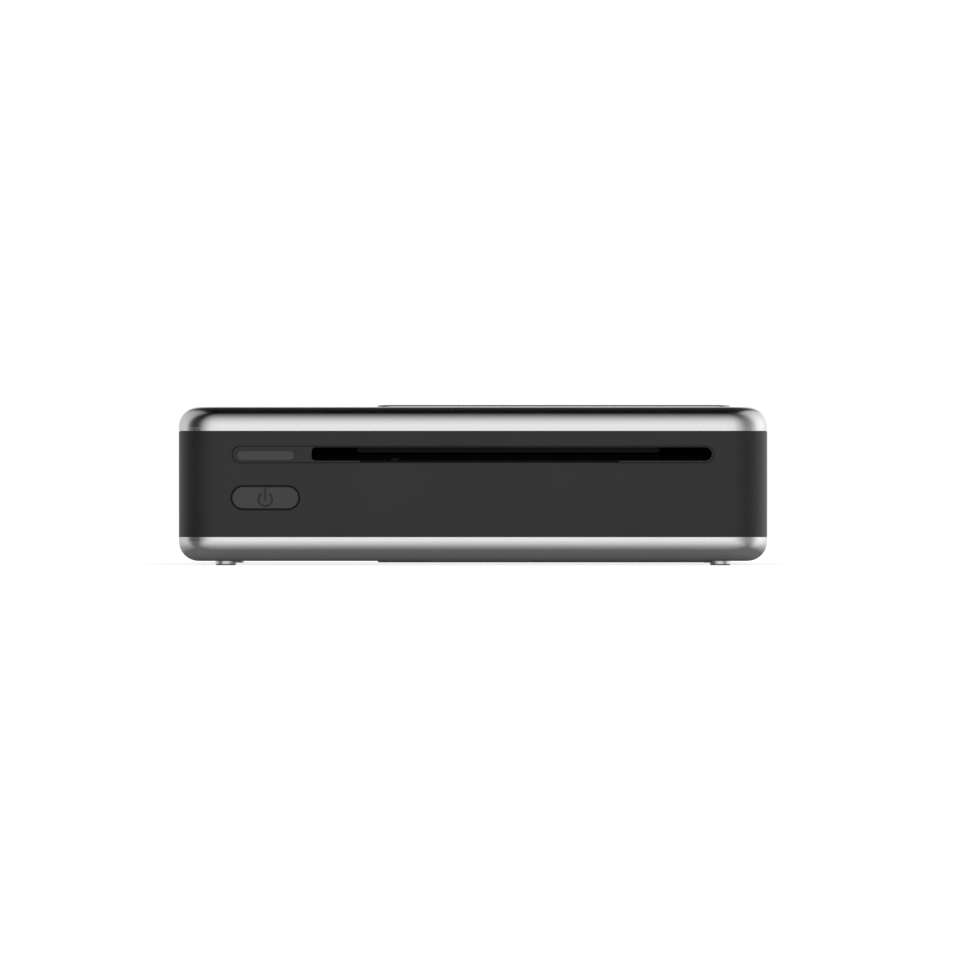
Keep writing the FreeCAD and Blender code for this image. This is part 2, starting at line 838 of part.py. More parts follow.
def exit_guide():
    front = -inner_y + bezel_flange
    left = frame_left + reach_gap
    right = frame_right - reach_gap
    floor = block(left, right, front, exit_rear, slot_bottom - exit_floor, slot_bottom)
    rib = block(exit_rib_left, exit_rib_right, front + exit_front_lip, exit_rear, slot_bottom,
                exit_rib_top)
    lip = [edge for edge in rib.Edges if abs(edge.BoundBox.ZMin - exit_rib_top) < fit_gap
           and abs(edge.BoundBox.YMax - front - exit_front_lip) < fit_gap]
    rib = rib.makeChamfer(exit_rib_top - slot_bottom - fit_gap, lip)
    hood = block(exit_rib_left, exit_rib_right, front + exit_front_lip, exit_rear, path_z + nip_gap,
                 slot_top + reach_gap + exit_roof)
    roof = wedge_x(left, right, (
        (front, slot_top + reach_gap),
        (exit_rear, path_z + nip_gap),
        (exit_rear, slot_top + reach_gap + exit_roof),
        (front, slot_top + reach_gap + exit_roof),
    ))
    cheek_bottom = slot_bottom - exit_floor
    cheek_top = slot_top + reach_gap
    left_cheek = block(left, left + exit_cheek, front, exit_rear, cheek_bottom, cheek_top)
    right_cheek = block(right - exit_cheek, right, front, exit_rear, cheek_bottom, cheek_top)
    nub_left = exit_rib_left + exit_nub_room
    nub = block(nub_left, nub_left + exit_nub_width, front, front + exit_front_lip, slot_bottom,
                slot_bottom + exit_nub_height)
    return union(floor, rib, hood, roof, left_cheek, right_cheek, nub)


def power_button():
    back = -inner_y + button_stop_gap + button_flange
    face = button_pill(-button_seam / 2, -half_depth, back)
    flange = button_pill(button_flange_reach, -inner_y + button_stop_gap, back)
    plunger = rod_y(back, back + plunger_length, button_x, button_z, plunger_radius)
    rim = [edge for edge in face.Edges if abs(edge.BoundBox.YMax + half_depth) < fit_gap]
    return union(face.makeFillet(reach_gap, rim), flange, plunger)


def rear_strip():
    full = closed_shell(band_top, cover_top, cover_top)
    body = full.common(block(-half_width, half_width, strip_front, half_depth, band_top, cover_top))
    pocket = block(-inner_x + edge_radius, inner_x - edge_radius, strip_front + band_wall,
                   inner_y - edge_radius / 2, band_top - overrun, cover_top - shell_skin)
    body = body.cut(pocket)
    additions = []
    holes = []
    for x in (-strip_screw_x, strip_screw_x):
        additions.append(rod_z(band_top, cover_top - shell_skin / 2, x, strip_screw_y(), boss_radius))
        holes.append(screw_hole_z(x, strip_screw_y(), band_top - overrun, band_top + strip_screw_depth))
    for x in (-knuckle_x, knuckle_x):
        left = x - knuckle_width / 2
        right = x + knuckle_width / 2
        additions.append(rod_x(left, right, hinge_y, hinge_z, knuckle_radius))
        additions.append(block(left, right, hinge_y, strip_front + fit_gap, hinge_z - knuckle_radius,
                               hinge_z + knuckle_radius))
        holes.append(rod_x(x - knuckle_width, x + knuckle_width, hinge_y, hinge_z, pin_radius))
    return body.fuse(additions).removeSplitter().cut(holes)


def hinge_pin(x):
    reach = knuckle_width / 2 + pin_reach
    return rod_x(x - reach, x + reach, hinge_y, hinge_z, pin_radius)


# Cover

def cover_shell():
    full = closed_shell(cover_bottom, cover_top, cover_top)
    front_part = block(-half_width, half_width, -half_depth, hinge_y, cover_bottom, cover_top)
    barrel = rod_x(-half_width, half_width, hinge_y, hinge_z, hinge_radius)
    body = full.common(front_part.fuse(barrel)).removeSplitter()
    hollow = slab(-inner_x, inner_x, -inner_y, cover_hollow_rear, cover_bottom - overrun,
                  cover_top - shell_skin, corner_radius - band_wall)
    holes = [hollow]
    for x in (-knuckle_x, knuckle_x):
        reach = knuckle_width / 2 + side_gap
        holes.append(block(x - reach, x + reach, hinge_y - knuckle_front_room,
                           hinge_y + hinge_radius + overrun, cover_bottom - overrun, cover_top + overrun))
        pin_end = knuckle_width / 2 + pin_reach + reach_gap
        holes.append(rod_x(x - pin_end, x + pin_end, hinge_y, hinge_z, pin_radius + running_gap))
    for x, y in liner_screw_places():
        holes.append(screw_hole_z(x, y, liner_bottom, liner_top + liner_screw_depth + fit_gap))
    holes.append(slab(plate_left, plate_right, plate_front, plate_rear, cover_top - plate_seat,
                      cover_top + overrun, plate_corner))
    return body.cut(holes).fuse([cover_tongue(side) for side in (-1, 1)]).removeSplitter()


def cover_tongue(side):
    """A tongue that reaches down inside one side wall of the band, on a root inside the cover."""
    outer = side * (inner_x - running_gap)
    inner = outer - side * tongue_thickness
    root = side * (inner_x + fit_gap)
    y0 = tongue_y - tongue_length / 2
    y1 = tongue_y + tongue_length / 2
    top = liner_top + fit_gap
    tongue = block(min(inner, outer), max(inner, outer), y0, y1, cover_bottom - tongue_drop, top)
    tip = [edge for edge in tongue.Edges if edge.BoundBox.ZMax < cover_bottom
           and edge.BoundBox.YLength > fit_gap]
    tongue = tongue.makeChamfer(tongue_thickness / 2 - fit_gap, tip)
    base = block(min(inner, root), max(inner, root), y0, y1, cover_bottom + side_gap, top)
    return union(tongue, base)


def cover_plate():
    highest = cover_top + cover_plate_rise
    return raised_plate(cover_top - plate_seat, highest, highest)


def liner_screw_places():
    """The four places where the liner is screwed to the cover."""
    ys = (liner_screw_front_y, liner_screw_rear_y)
    return [(side * liner_screw_x, y) for side in (-1, 1) for y in ys]


def cover_liner():
    sheet = block(-liner_half_width, liner_half_width, liner_front, liner_rear, liner_bottom, liner_top)
    ears = []
    holes = [screw_hole_z(x, y, liner_bottom - overrun, liner_top + overrun)
             for x, y in liner_screw_places()]
    for x0 in (pressure_left - side_gap - pressure_ear, pressure_right + side_gap):
        x1 = x0 + pressure_ear
        ears.append(rod_x(x0, x1, pressure_pivot_y, pressure_pivot_z, pressure_ear_radius))
        ears.append(block(x0, x1, pressure_pivot_y - pressure_ear_radius,
                          pressure_pivot_y + pressure_ear_radius, pressure_pivot_z, liner_bottom))
    holes.append(rod_x(pressure_left - pressure_ear - overrun, pressure_right + pressure_ear + overrun,
                       pressure_pivot_y, pressure_pivot_z, pressure_pin_radius))
    for x in pressure_spring_x:
        holes.append(rod_z(liner_bottom - overrun, liner_top + overrun, x, pressure_spring_y,
                           pressure_spring_radius + pressure_pocket_gap))
    return sheet.fuse(ears).removeSplitter().cut(holes)


def pressure_plate():
    top = pressure_bottom + pressure_thickness
    sheet = block(pressure_left, pressure_right, pressure_front, pressure_pivot_y, pressure_bottom, top)
    nose = [edge for edge in sheet.Edges if abs(edge.BoundBox.YMax - pressure_front) < fit_gap
            and abs(edge.BoundBox.ZMax - pressure_bottom) < fit_gap]
    sheet = sheet.makeFillet(pressure_thickness - reach_gap, nose)
    hub = rod_x(pressure_left, pressure_right, pressure_pivot_y, pressure_pivot_z, pressure_ear_radius)
    web = block(pressure_left, pressure_right, pressure_pivot_y - pressure_ear_radius, pressure_pivot_y,
                pressure_bottom, pressure_pivot_z)
    bore = rod_x(pressure_left - overrun, pressure_right + overrun, pressure_pivot_y, pressure_pivot_z,
                 pressure_pin_radius + running_gap)
    return union(sheet, hub, web).cut(bore)


def pressure_pin():
    reach = side_gap + pressure_ear
    return rod_x(pressure_left - reach, pressure_right + reach, pressure_pivot_y, pressure_pivot_z,
                 pressure_pin_radius)


def spring_tube(x, y, z0, z1, radius, wire):
    """The space of a small pressure spring: a plain tube."""
    return rod_z(z0, z1, x, y, radius).cut(rod_z(z0 - overrun, z1 + overrun, x, y, radius - wire))


def pressure_springs():
    return group([spring_tube(x, pressure_spring_y, pressure_bottom + pressure_thickness, liner_top,
                              pressure_spring_radius, pressure_spring_wire) for x in pressure_spring_x])


# Tray, frame and guides

def paper_tray():
    body = block(tray_left, tray_right, tray_front, tray_rear + tray_wall, tray_floor_bottom, tray_wall_top)
    bay = block(bay_left, bay_right, stack_front, tray_rear, tray_floor_top, tray_wall_top + overrun)
    throat = block(bay_left, bay_right, tray_front - overrun, stack_front + overrun, tray_floor_top,
                   tray_wall_top + overrun)
    additions = []
    for y in (tray_tab_front_y, tray_tab_rear_y):
        front = y - tray_tab_depth / 2
        back = y + tray_tab_depth / 2
        additions.append(block(tray_left - tray_tab_left, tray_left + fit_gap, front, back,
                               tray_floor_bottom, tray_floor_top))
        additions.append(block(tray_right - fit_gap, tray_right + tray_tab_right, front, back,
                               tray_floor_bottom, tray_floor_top))
    for side in (-1, 1):
        x = bay_centre_x + side * tray_rail_spacing / 2
        additions.append(block(x - tray_rail_width / 2, x + tray_rail_width / 2, stack_front, tray_rear,
                               tray_floor_top - fit_gap, tray_floor_top + tray_rail_height))
    reach = pick_roller_width / 2 + roller_side_gap
    pick_window = block(bay_centre_x - reach, bay_centre_x + reach, pick_y - pick_radius - side_gap,
                        pick_y + pick_radius + side_gap, tray_floor_bottom - overrun,
                        tray_floor_top + overrun)
    gate_room = block(tray_left - overrun, tray_right + overrun, tray_front - overrun,
                      gate_y + gate_depth + reach_gap, gate_bottom - reach_gap, tray_wall_top + overrun)
    return body.cut([bay, throat]).fuse(additions).removeSplitter().cut([pick_window, gate_room])


def side_plate(x0):
    """One side plate of the print frame, with its holes."""
    x1 = x0 + frame_sheet
    high = block(x0, x1, frame_front, frame_step_y, frame_bottom, frame_top)
    low = block(x0, x1, frame_step_y, frame_rear, frame_bottom, frame_low_top)
    holes = []
    for y in (platen_y, feed_y, pick_y):
        holes.append(rod_x(x0 - overrun, x1 + overrun, y, roller_z, bush_radius))
    holes.append(rod_x(x0 - overrun, x1 + overrun, pinch_y, pinch_z, pinch_core_radius + running_gap))
    holes.append(rod_x(x0 - overrun, x1 + overrun, head_pivot_y, head_pivot_z,
                       head_pivot_radius + running_gap))
    return union(high, low).cut(holes)


def print_frame():
    left_plate = side_plate(plate_outer_left)
    right_plate = side_plate(frame_right)
    front_strip = block(plate_outer_left, plate_outer_right, frame_front, frame_front + frame_front_strip,
                        frame_bottom, frame_bottom + frame_sheet)
    rear_strip_sheet = block(plate_outer_left, plate_outer_right, frame_rear - frame_rear_strip, frame_rear,
                             frame_bottom, frame_bottom + frame_sheet)
    holes = [screw_hole_z(x, y, frame_bottom - overrun, frame_bottom + frame_sheet + overrun)
             for x, y in frame_screw_places()]
    holes.append(rod_x(plate_outer_left - overrun, frame_left + overrun, motor_centre[0], motor_centre[1],
                       motor_boss_radius + fit_gap))
    holes.append(rod_x(plate_outer_left - overrun, frame_left + overrun, head_lead_route[0].y,
                       head_lead_route[0].z, head_lead_radius + side_gap))
    for y, z in stud_centres():
        holes.append(rod_x(plate_outer_left - overrun, frame_left + overrun, y, z, stud_radius))
    for y, z in motor_screw_centres():
        holes.append(rod_x(plate_outer_left - overrun, frame_left + overrun, y, z,
                           motor_screw_radius + fit_gap))
    return union(left_plate, right_plate, front_strip, rear_strip_sheet).cut(holes)


def frame_bridge():
    sheet = block(plate_outer_left, plate_outer_right, bridge_front, bridge_rear, frame_top,
                  frame_top + bridge_sheet)
    depth = (bridge_rear - bridge_front) * bridge_window_share
    middle = (bridge_front + bridge_rear) / 2
    windows = []
    edges = (frame_left + roller_side_gap,) + head_spring_x + (frame_right - roller_side_gap,)
    for x0, x1 in zip(edges, edges[1:]):
        room = head_spring_radius + roller_side_gap
        windows.append(slab(x0 + room, x1 - room, middle - depth / 2, middle + depth / 2,
                            frame_top - overrun, frame_top + bridge_sheet + overrun, bridge_sheet))
    return sheet.cut(windows)


def separation_gate():
    body = block(frame_left + reach_gap, frame_right - reach_gap, gate_y, gate_y + gate_depth, gate_bottom,
                 gate_top)
    foot_edge = [edge for edge in body.Edges if abs(edge.BoundBox.ZMax - gate_bottom) < fit_gap
                 and edge.Length > sheet_width]
    body = body.makeFillet(gate_round, foot_edge)
    tabs = []
    for x0, x1 in ((plate_outer_left, frame_left + reach_gap + fit_gap),
                   (frame_right - reach_gap - fit_gap, plate_outer_right)):
        tabs.append(block(x0, x1, frame_step_y + reach_gap, gate_y + gate_depth, frame_low_top + reach_gap,
                          gate_top))
        tabs.append(block(x0, x1, frame_step_y, gate_y, gate_bottom, gate_top))
    return union(body, *tabs)


def paper_guide():
    body = block(frame_left + reach_gap, frame_right - reach_gap, guide_front, guide_rear,
                 guide_top - guide_thickness, guide_top)
    hub = flag_hub_radius + flag_slot_room
    slot = block(flag_x - flag_width / 2 - side_gap, flag_x + flag_width / 2 + side_gap,
                 flag_pivot_y - hub, flag_pivot_y + hub,
                 guide_top - guide_thickness - overrun, guide_top + overrun)
    ears = []
    for side in (-1, 1):
        x = flag_x + side * (flag_width / 2 + side_gap + flag_ear / 2)
        ears.append(rod_x(x - flag_ear / 2, x + flag_ear / 2, flag_pivot_y, flag_pivot_z, flag_hub_radius))
        ears.append(block(x - flag_ear / 2, x + flag_ear / 2, flag_pivot_y - flag_hub_radius,
                          flag_pivot_y + flag_hub_radius, flag_pivot_z, guide_top - guide_thickness))
    reach = flag_width / 2 + flag_pin_reach + reach_gap
    bore = rod_x(flag_x - reach, flag_x + reach, flag_pivot_y, flag_pivot_z, flag_pin_radius + running_gap)
    return body.fuse(ears).removeSplitter().cut([slot, bore])


def paper_flag():
    left = flag_x - flag_width / 2
    right = flag_x + flag_width / 2
    hub = rod_x(left, right, flag_pivot_y, flag_pivot_z, flag_hub_radius)
    pin = rod_x(left - flag_pin_reach, right + flag_pin_reach, flag_pivot_y, flag_pivot_z, flag_pin_radius)
    finger = block(left, right, flag_pivot_y, flag_pivot_y + flag_thickness, flag_pivot_z,
                   flag_pivot_z + flag_reach)
    tail = block(left, right, flag_pivot_y, flag_pivot_y + flag_thickness, flag_pivot_z - flag_tail,
                 flag_pivot_z)
    return union(hub, pin, finger, tail)


def flag_sensor():
    """A light barrier under the guide, whose two towers stand either side of the flag's tail."""
    top = guide_top - guide_thickness
    bottom = top - sensor_height - sensor_depth
    gap = flag_width / 2 + side_gap + flag_ear + side_gap
    y0 = flag_pivot_y - sensor_depth / 2
    towers = []
    for side in (-1, 1):
        inner = flag_x + side * gap
        outer = flag_x + side * (gap + sensor_width / 2)
        towers.append(block(min(inner, outer), max(inner, outer), y0, y0 + sensor_depth, bottom, top))
    base = block(flag_x - gap, flag_x + gap, y0, y0 + sensor_depth, bottom, bottom + sensor_depth / 2)
    return union(base, *towers)


# Thermal head

def head_ends():
    """The left and right ends of the head."""
    return frame_left + head_side_gap, frame_right - head_side_gap


def thermal_head():
    x0, x1 = head_ends()
    return block(x0, x1, head_front, head_rear, path_z + nip_gap, path_z + nip_gap + head_strip)


def head_heatsink():
    x0, x1 = head_ends()
    bottom = path_z + nip_gap + head_strip
    body = block(x0, x1, head_front, head_rear, bottom, heatsink_top)
    lugs = []
    for start in (x0, x1 - head_lug_width):
        end = start + head_lug_width
        lugs.append(rod_x(start, end, head_pivot_y, head_pivot_z, head_lug_radius))
        lugs.append(block(start, end, head_rear - overrun, head_pivot_y, bottom, heatsink_top))
    bore = rod_x(x0 - overrun, x1 + overrun, head_pivot_y, head_pivot_z, head_pivot_radius + running_gap)
    pockets = [rod_z(heatsink_top - head_spring_pocket, heatsink_top + overrun, x, head_spring_y,
                     head_spring_radius + side_gap) for x in head_spring_x]
    return body.fuse(lugs).removeSplitter().cut([bore] + pockets)


def head_pivot_pins():
    reach = head_side_gap + head_lug_width
    left = rod_x(plate_outer_left, frame_left + reach, head_pivot_y, head_pivot_z, head_pivot_radius)
    right = rod_x(frame_right - reach, plate_outer_right, head_pivot_y, head_pivot_z, head_pivot_radius)
    return group([left, right])


def head_springs():
    return group([spring_tube(x, head_spring_y, heatsink_top - head_spring_pocket, frame_top,
                              head_spring_radius, head_spring_wire) for x in head_spring_x])


# Rollers

def roller_shaft(y):
    """A steel shaft: thin where it runs in the bushes and carries its gear, thicker between them."""
    thin = rod_x(train_left - gear_plane_gap / 2, plate_outer_right + gear_plane_gap, y, roller_z,
                 shaft_radius)
    core = rod_x(frame_left + roller_side_gap, frame_right - roller_side_gap, y, roller_z,
                 shaft_core_radius)
    return union(thin, core)


def sleeve(x0, x1, y, z, radius, bore):
    """A rubber sleeve on a shaft."""
    body = rod_x(x0, x1, y, z, radius)
    rims = [edge for edge in body.Edges if edge.BoundBox.XLength < fit_gap]
    return body.makeChamfer(reach_gap, rims).cut(rod_x(x0 - overrun, x1 + overrun, y, z, bore))


def platen_sleeve():
    return sleeve(frame_left + roller_side_gap, frame_right - roller_side_gap, platen_y, roller_z,
                  roller_radius, shaft_core_radius)


def feed_spans():
    """The left and right ends of the two feed sleeves."""
    spans = []
    for side in (-1, 1):
        middle = bay_centre_x + side * feed_sleeve_spacing / 2
        spans.append((middle - feed_sleeve_length / 2, middle + feed_sleeve_length / 2))
    return spans


def feed_sleeves():
    return group([sleeve(x0, x1, feed_y, roller_z, roller_radius, shaft_core_radius)
                  for x0, x1 in feed_spans()])


def pick_sleeve():
    return sleeve(bay_centre_x - pick_roller_width / 2, bay_centre_x + pick_roller_width / 2, pick_y,
                  roller_z, pick_radius, shaft_core_radius)


def pinch_shaft():
    return rod_x(plate_outer_left, plate_outer_right, pinch_y, pinch_z, pinch_core_radius)


def pinch_sleeves():
    return group([sleeve(x0, x1, pinch_y, pinch_z, pinch_radius, pinch_core_radius)
                  for x0, x1 in feed_spans()])


def roller_gear(centre, phase):
    return gear_x(train_left, train_right, centre, gear_module, roller_teeth, phase, shaft_radius)


def idler_gear(centre, teeth, phase):
    return gear_x(train_left, train_right, centre, gear_module, teeth, phase, stud_radius + running_gap)


def reduction_gear():
    small = gear_x(train_left, train_right, reduction_centre, gear_module, reduction_small_teeth,
                   reduction_phase, stud_radius + running_gap)
    large = gear_x(motor_plane_left, motor_plane_right, reduction_centre, fine_module,
                   reduction_large_teeth, reduction_phase, stud_radius + running_gap)
    root = gear_module * (reduction_small_teeth / 2 - tooth_depth_share)
    neck = rod_x(motor_plane_right, train_left, reduction_centre[0], reduction_centre[1], root)
    bore = rod_x(motor_plane_left - overrun, train_right + overrun, reduction_centre[0],
                 reduction_centre[1], stud_radius + running_gap)
    return union(small, neck, large).cut(bore)


def motor_pinion():
    return gear_x(motor_plane_left, motor_plane_right, motor_centre, fine_module, motor_teeth, motor_phase,
                  motor_shaft_radius)


def stud_centres():
    """The axes of the gears that turn on studs."""
    return [platen_idler_centre, pick_idler_centre, reduction_centre]


def gear_studs():
    studs = []
    for centre, outer in zip(stud_centres(), (train_left, train_left, motor_plane_left)):
        y, z = centre
        pin = rod_x(outer - reach_gap - stud_head, frame_left, y, z, stud_radius)
        head = rod_x(outer - reach_gap - stud_head, outer - reach_gap, y, z, stud_head_radius)
        studs.append(union(pin, head))
    return group(studs)


def roller_bushes():
    bushes = []
    for y in (platen_y, feed_y, pick_y):
        for inner, outer, way in ((frame_left, plate_outer_left, 1), (frame_right, plate_outer_right, -1)):
            x0 = min(inner, outer)
            x1 = max(inner, outer)
            ring = rod_x(x0, x1, y, roller_z, bush_radius)
            rim_end = inner + way * bush_flange
            rim = rod_x(min(inner, rim_end), max(inner, rim_end), y, roller_z, bush_flange_radius)
            bore = rod_x(x0 - overrun, x1 + overrun, y, roller_z, shaft_radius + running_gap)
            bushes.append(union(ring, rim).cut(bore))
    return group(bushes)


# Motor

def motor_screw_centres():
    """The motor's two screws, on a line square to the reduction gear."""
    return [off_centre(motor_centre, motor_screw_circle, motor_angle + side * 90) for side in (-1, 1)]


def motor():
    y, z = motor_centre
    can = rod_x(frame_left, frame_left + motor_length, y, z, motor_radius)
    rim = [edge for edge in can.Edges if abs(edge.BoundBox.XMin - frame_left - motor_length) < fit_gap]
    can = can.makeFillet(motor_boss, rim)
    boss = rod_x(plate_outer_left, frame_left, y, z, motor_boss_radius)
    bore = rod_x(plate_outer_left - overrun, frame_left + motor_length / 2, y, z,
                 motor_shaft_radius + running_gap)
    taps = [rod_x(frame_left - overrun, frame_left + overrun, sy, sz, motor_screw_radius)
            for sy, sz in motor_screw_centres()]
    return union(can, boss).cut([bore] + taps)


def motor_shaft():
    y, z = motor_centre
    return rod_x(motor_plane_left - reach_gap, frame_left + motor_length / 2 - reach_gap, y, z,
                 motor_shaft_radius)


def motor_screws():
    screws = []
    for y, z in motor_screw_centres():
        head = rod_x(plate_outer_left - motor_screw_head, plate_outer_left, y, z, motor_screw_head_radius)
        shank = rod_x(plate_outer_left, frame_left + overrun, y, z, motor_screw_radius)
        screws.append(union(head, shank))
    return group(screws)


# Battery, boards and what stands on them

def battery():
    body = block(battery_left, battery_right, battery_front, battery_rear, floor_top,
                 floor_top + battery_height)
    return body.makeFillet(battery_edge, body.Edges)


def main_board():
    body = block(-board_half_width, board_half_width, board_front, board_rear, board_bottom, board_top)
    return body.cut([screw_hole_z(x, y, board_bottom - overrun, board_top + overrun)
                     for x, y in board_posts()])


# Each chip as shares of the board: its place along X and Y, width, depth, and height in the room above
chip_shares = (
    (0.40, 0.43, 0.15, 0.20, 0.33),
    (0.61, 0.46, 0.10, 0.11, 0.30),
    (0.24, 0.26, 0.08, 0.11, 0.27),
    (0.20, 0.68, 0.16, 0.26, 0.53),
    (0.66, 0.74, 0.065, 0.09, 0.53),
    (0.81, 0.52, 0.05, 0.055, 0.40),
    (0.81, 0.40, 0.05, 0.055, 0.40),
    (0.60, 0.22, 0.065, 0.065, 0.27),
)


def board_chips():
    """Processor, memory, motor driver, radio can, inductor, capacitors and charger."""
    width = 2 * board_half_width
    depth = board_rear - board_front
    room = tray_floor_bottom - board_top
    chips = []
    for x_share, y_share, width_share, depth_share, height_share in chip_shares:
        x = -board_half_width + x_share * width
        y = board_front + y_share * depth
        chips.append(block(x - width_share * width / 2, x + width_share * width / 2,
                           y - depth_share * depth / 2, y + depth_share * depth / 2,
                           board_top, board_top + height_share * room))
    return group(chips)


def connector(x):
    """A lead connector on the board's front edge."""
    front = board_front - connector_overhang
    return block(x - connector_width / 2, x + connector_width / 2, front, front + connector_depth,
                 board_top, board_top + connector_height)


def board_connectors():
    routes = (battery_lead_route, head_lead_route, motor_lead_route)
    return group([connector(route[-1].x) for route in routes])


def board_screws():
    return group([screw_z(x, y, board_top, board_thickness + screw_depth, -1) for x, y in board_posts()])


def frame_screws():
    seat = frame_bottom + frame_sheet
    return group([screw_z(x, y, seat, frame_sheet + screw_depth, -1) for x, y in frame_screw_places()])


def shell_screws():
    seat = foot_height + screw_head
    return group([screw_z(x, y, seat, shell_post_top - overrun - seat - fit_gap, 1)
                  for x, y in shell_screw_places()])


def strip_screws():
    seat = band_top - deck_thickness
    return group([screw_z(x, strip_screw_y(), seat, deck_thickness + strip_screw_depth - fit_gap, 1)
                  for x in (-strip_screw_x, strip_screw_x)])


def liner_screws():
    return group([screw_z(x, y, liner_bottom, liner_thickness + liner_screw_depth, 1)
                  for x, y in liner_screw_places()])


def charging_socket():
    base = board_top
    x0 = socket_x - socket_width / 2
    x1 = socket_x + socket_width / 2
    top = base + socket_height
    can = block(x0, x1, socket_front, socket_rear, base, top)
    long_edges = [edge for edge in can.Edges if edge.BoundBox.YLength > overrun]
    can = can.makeFillet(socket_round, long_edges)
    mouth = block(x0 + socket_wall, x1 - socket_wall, socket_front + socket_wall, socket_rear + overrun,
                  base + socket_wall, top - socket_wall)
    mouth_edges = [edge for edge in mouth.Edges if edge.BoundBox.YLength > overrun]
    mouth = mouth.makeFillet(socket_round - socket_wall, mouth_edges)
    middle = base + socket_height / 2
    tongue = block(x0 + socket_tongue_room, x1 - socket_tongue_room, socket_front,
                   socket_rear - socket_tongue, middle - socket_tongue / 2, middle + socket_tongue / 2)
    return can.cut(mouth).fuse(tongue).removeSplitter()


def button_board():
    return block(button_board_left, button_board_right, button_board_front,
                 button_board_front + button_board_thickness, button_board_bottom, button_board_top)


def power_switch():
    half = switch_size / 2
    body_front = button_board_front - switch_depth
    body = block(button_x - half, button_x + half, body_front, button_board_front,
                 button_z - half, button_z + half)
    plunger_end = -inner_y + button_stop_gap + button_flange + plunger_length
    knob = rod_y(plunger_end + button_travel + button_stop_gap, body_front, button_x, button_z,
                 switch_knob_radius)
    return union(body, knob)


def status_leds():
    middle_z = (lens_bottom + lens_top) / 2
    spacing = (lens_right - lens_left) / led_count
    lights = []
    for place in range(led_count):
        x = lens_left + (place + 0.5) * spacing
        lights.append(block(x - led_size / 2, x + led_size / 2, button_board_front - led_depth,
                            button_board_front, middle_z - led_size / 4, middle_z + led_size / 4))
    return group(lights)


# Leads

def lead(name, points, radius):
    """A round lead along straight runs joined by tangent arcs."""
    edges = []
    start = points[0]
    bends = []
    for before, corner, after in zip(points, points[1:], points[2:]):
        into = (corner - before).normalize()
        out = (after - corner).normalize()
        half_turn = into.getAngle(out) / 2
        setback = bend_share * min((corner - before).Length, (after - corner).Length)
        bend = setback / math.tan(half_turn)
        inward = (out - into).normalize()
        arc_start = corner - into * setback
        arc_end = corner + out * setback
        arc_middle = corner + inward * (bend / math.cos(half_turn) - bend)
        edges.append(Part.LineSegment(start, arc_start).toShape())
        edges.append(Part.Arc(arc_start, arc_middle, arc_end).toShape())
        start = arc_end
        bends.append(round(bend, 2))
    edges.append(Part.LineSegment(start, points[-1]).toShape())
    path = Part.Wire(edges)
    section = Part.Wire([Part.makeCircle(radius, points[0], (points[1] - points[0]).normalize())])
    tube = path.makePipeShell([section], True, False)
    share = tube.Volume / (math.pi * radius ** 2 * path.Length)
    print(name, "bend radii", bends, "length", round(path.Length, 1), "volume share", round(share, 3))
    return tube


# The leads' lanes: beside the battery, and between the gears and the left wall
lead_end_z = board_top + connector_height / 2
lead_end_y = board_front - connector_overhang
battery_lead_x = -board_half_width + reach_gap
battery_lead_z = floor_top + battery_height / 2
motor_lead_y, motor_lead_z = motor_centre
motor_lead_x = frame_left + motor_length + 6.6
head_lead_x = (motor_plane_left - inner_x) / 2
head_lead_y = head_front + 5.5

battery_lead_route = (
    Vector(battery_left, board_front - 6.0, battery_lead_z),
    Vector(battery_lead_x, board_front - 6.0, battery_lead_z),
    Vector(battery_lead_x, board_front - 5.7, lead_end_z),
    Vector(battery_lead_x, lead_end_y, lead_end_z),
)
motor_lead_route = (
    Vector(frame_left + motor_length + running_gap, motor_lead_y, motor_lead_z),
    Vector(motor_lead_x, motor_lead_y, motor_lead_z + 0.3),
    Vector(motor_lead_x + 0.6, pick_y, motor_lead_z),
    Vector(motor_lead_x - 0.2, battery_front + 6.4, floor_top + battery_height + 1.85),
    Vector(motor_lead_x, lead_end_y - reach_gap, lead_end_z),
)
head_lead_route = (
    Vector(frame_left + 0.5, head_lead_y, path_z + 1.7),
    Vector(head_lead_x + 0.8, head_lead_y, path_z + 1.7),
    Vector(head_lead_x + 0.4, tray_front, path_z - 0.8),
    Vector(head_lead_x + 0.1, battery_front + 1.0, board_top + 0.9),
    Vector(head_lead_x + 5.4, lead_end_y - reach_gap, lead_end_z),
)


def battery_lead():
    return lead("battery_lead", battery_lead_route, battery_lead_radius)


def motor_lead():
    return lead("motor_lead", motor_lead_route, motor_lead_radius)


def head_lead():
    return lead("head_lead", head_lead_route, head_lead_radius)


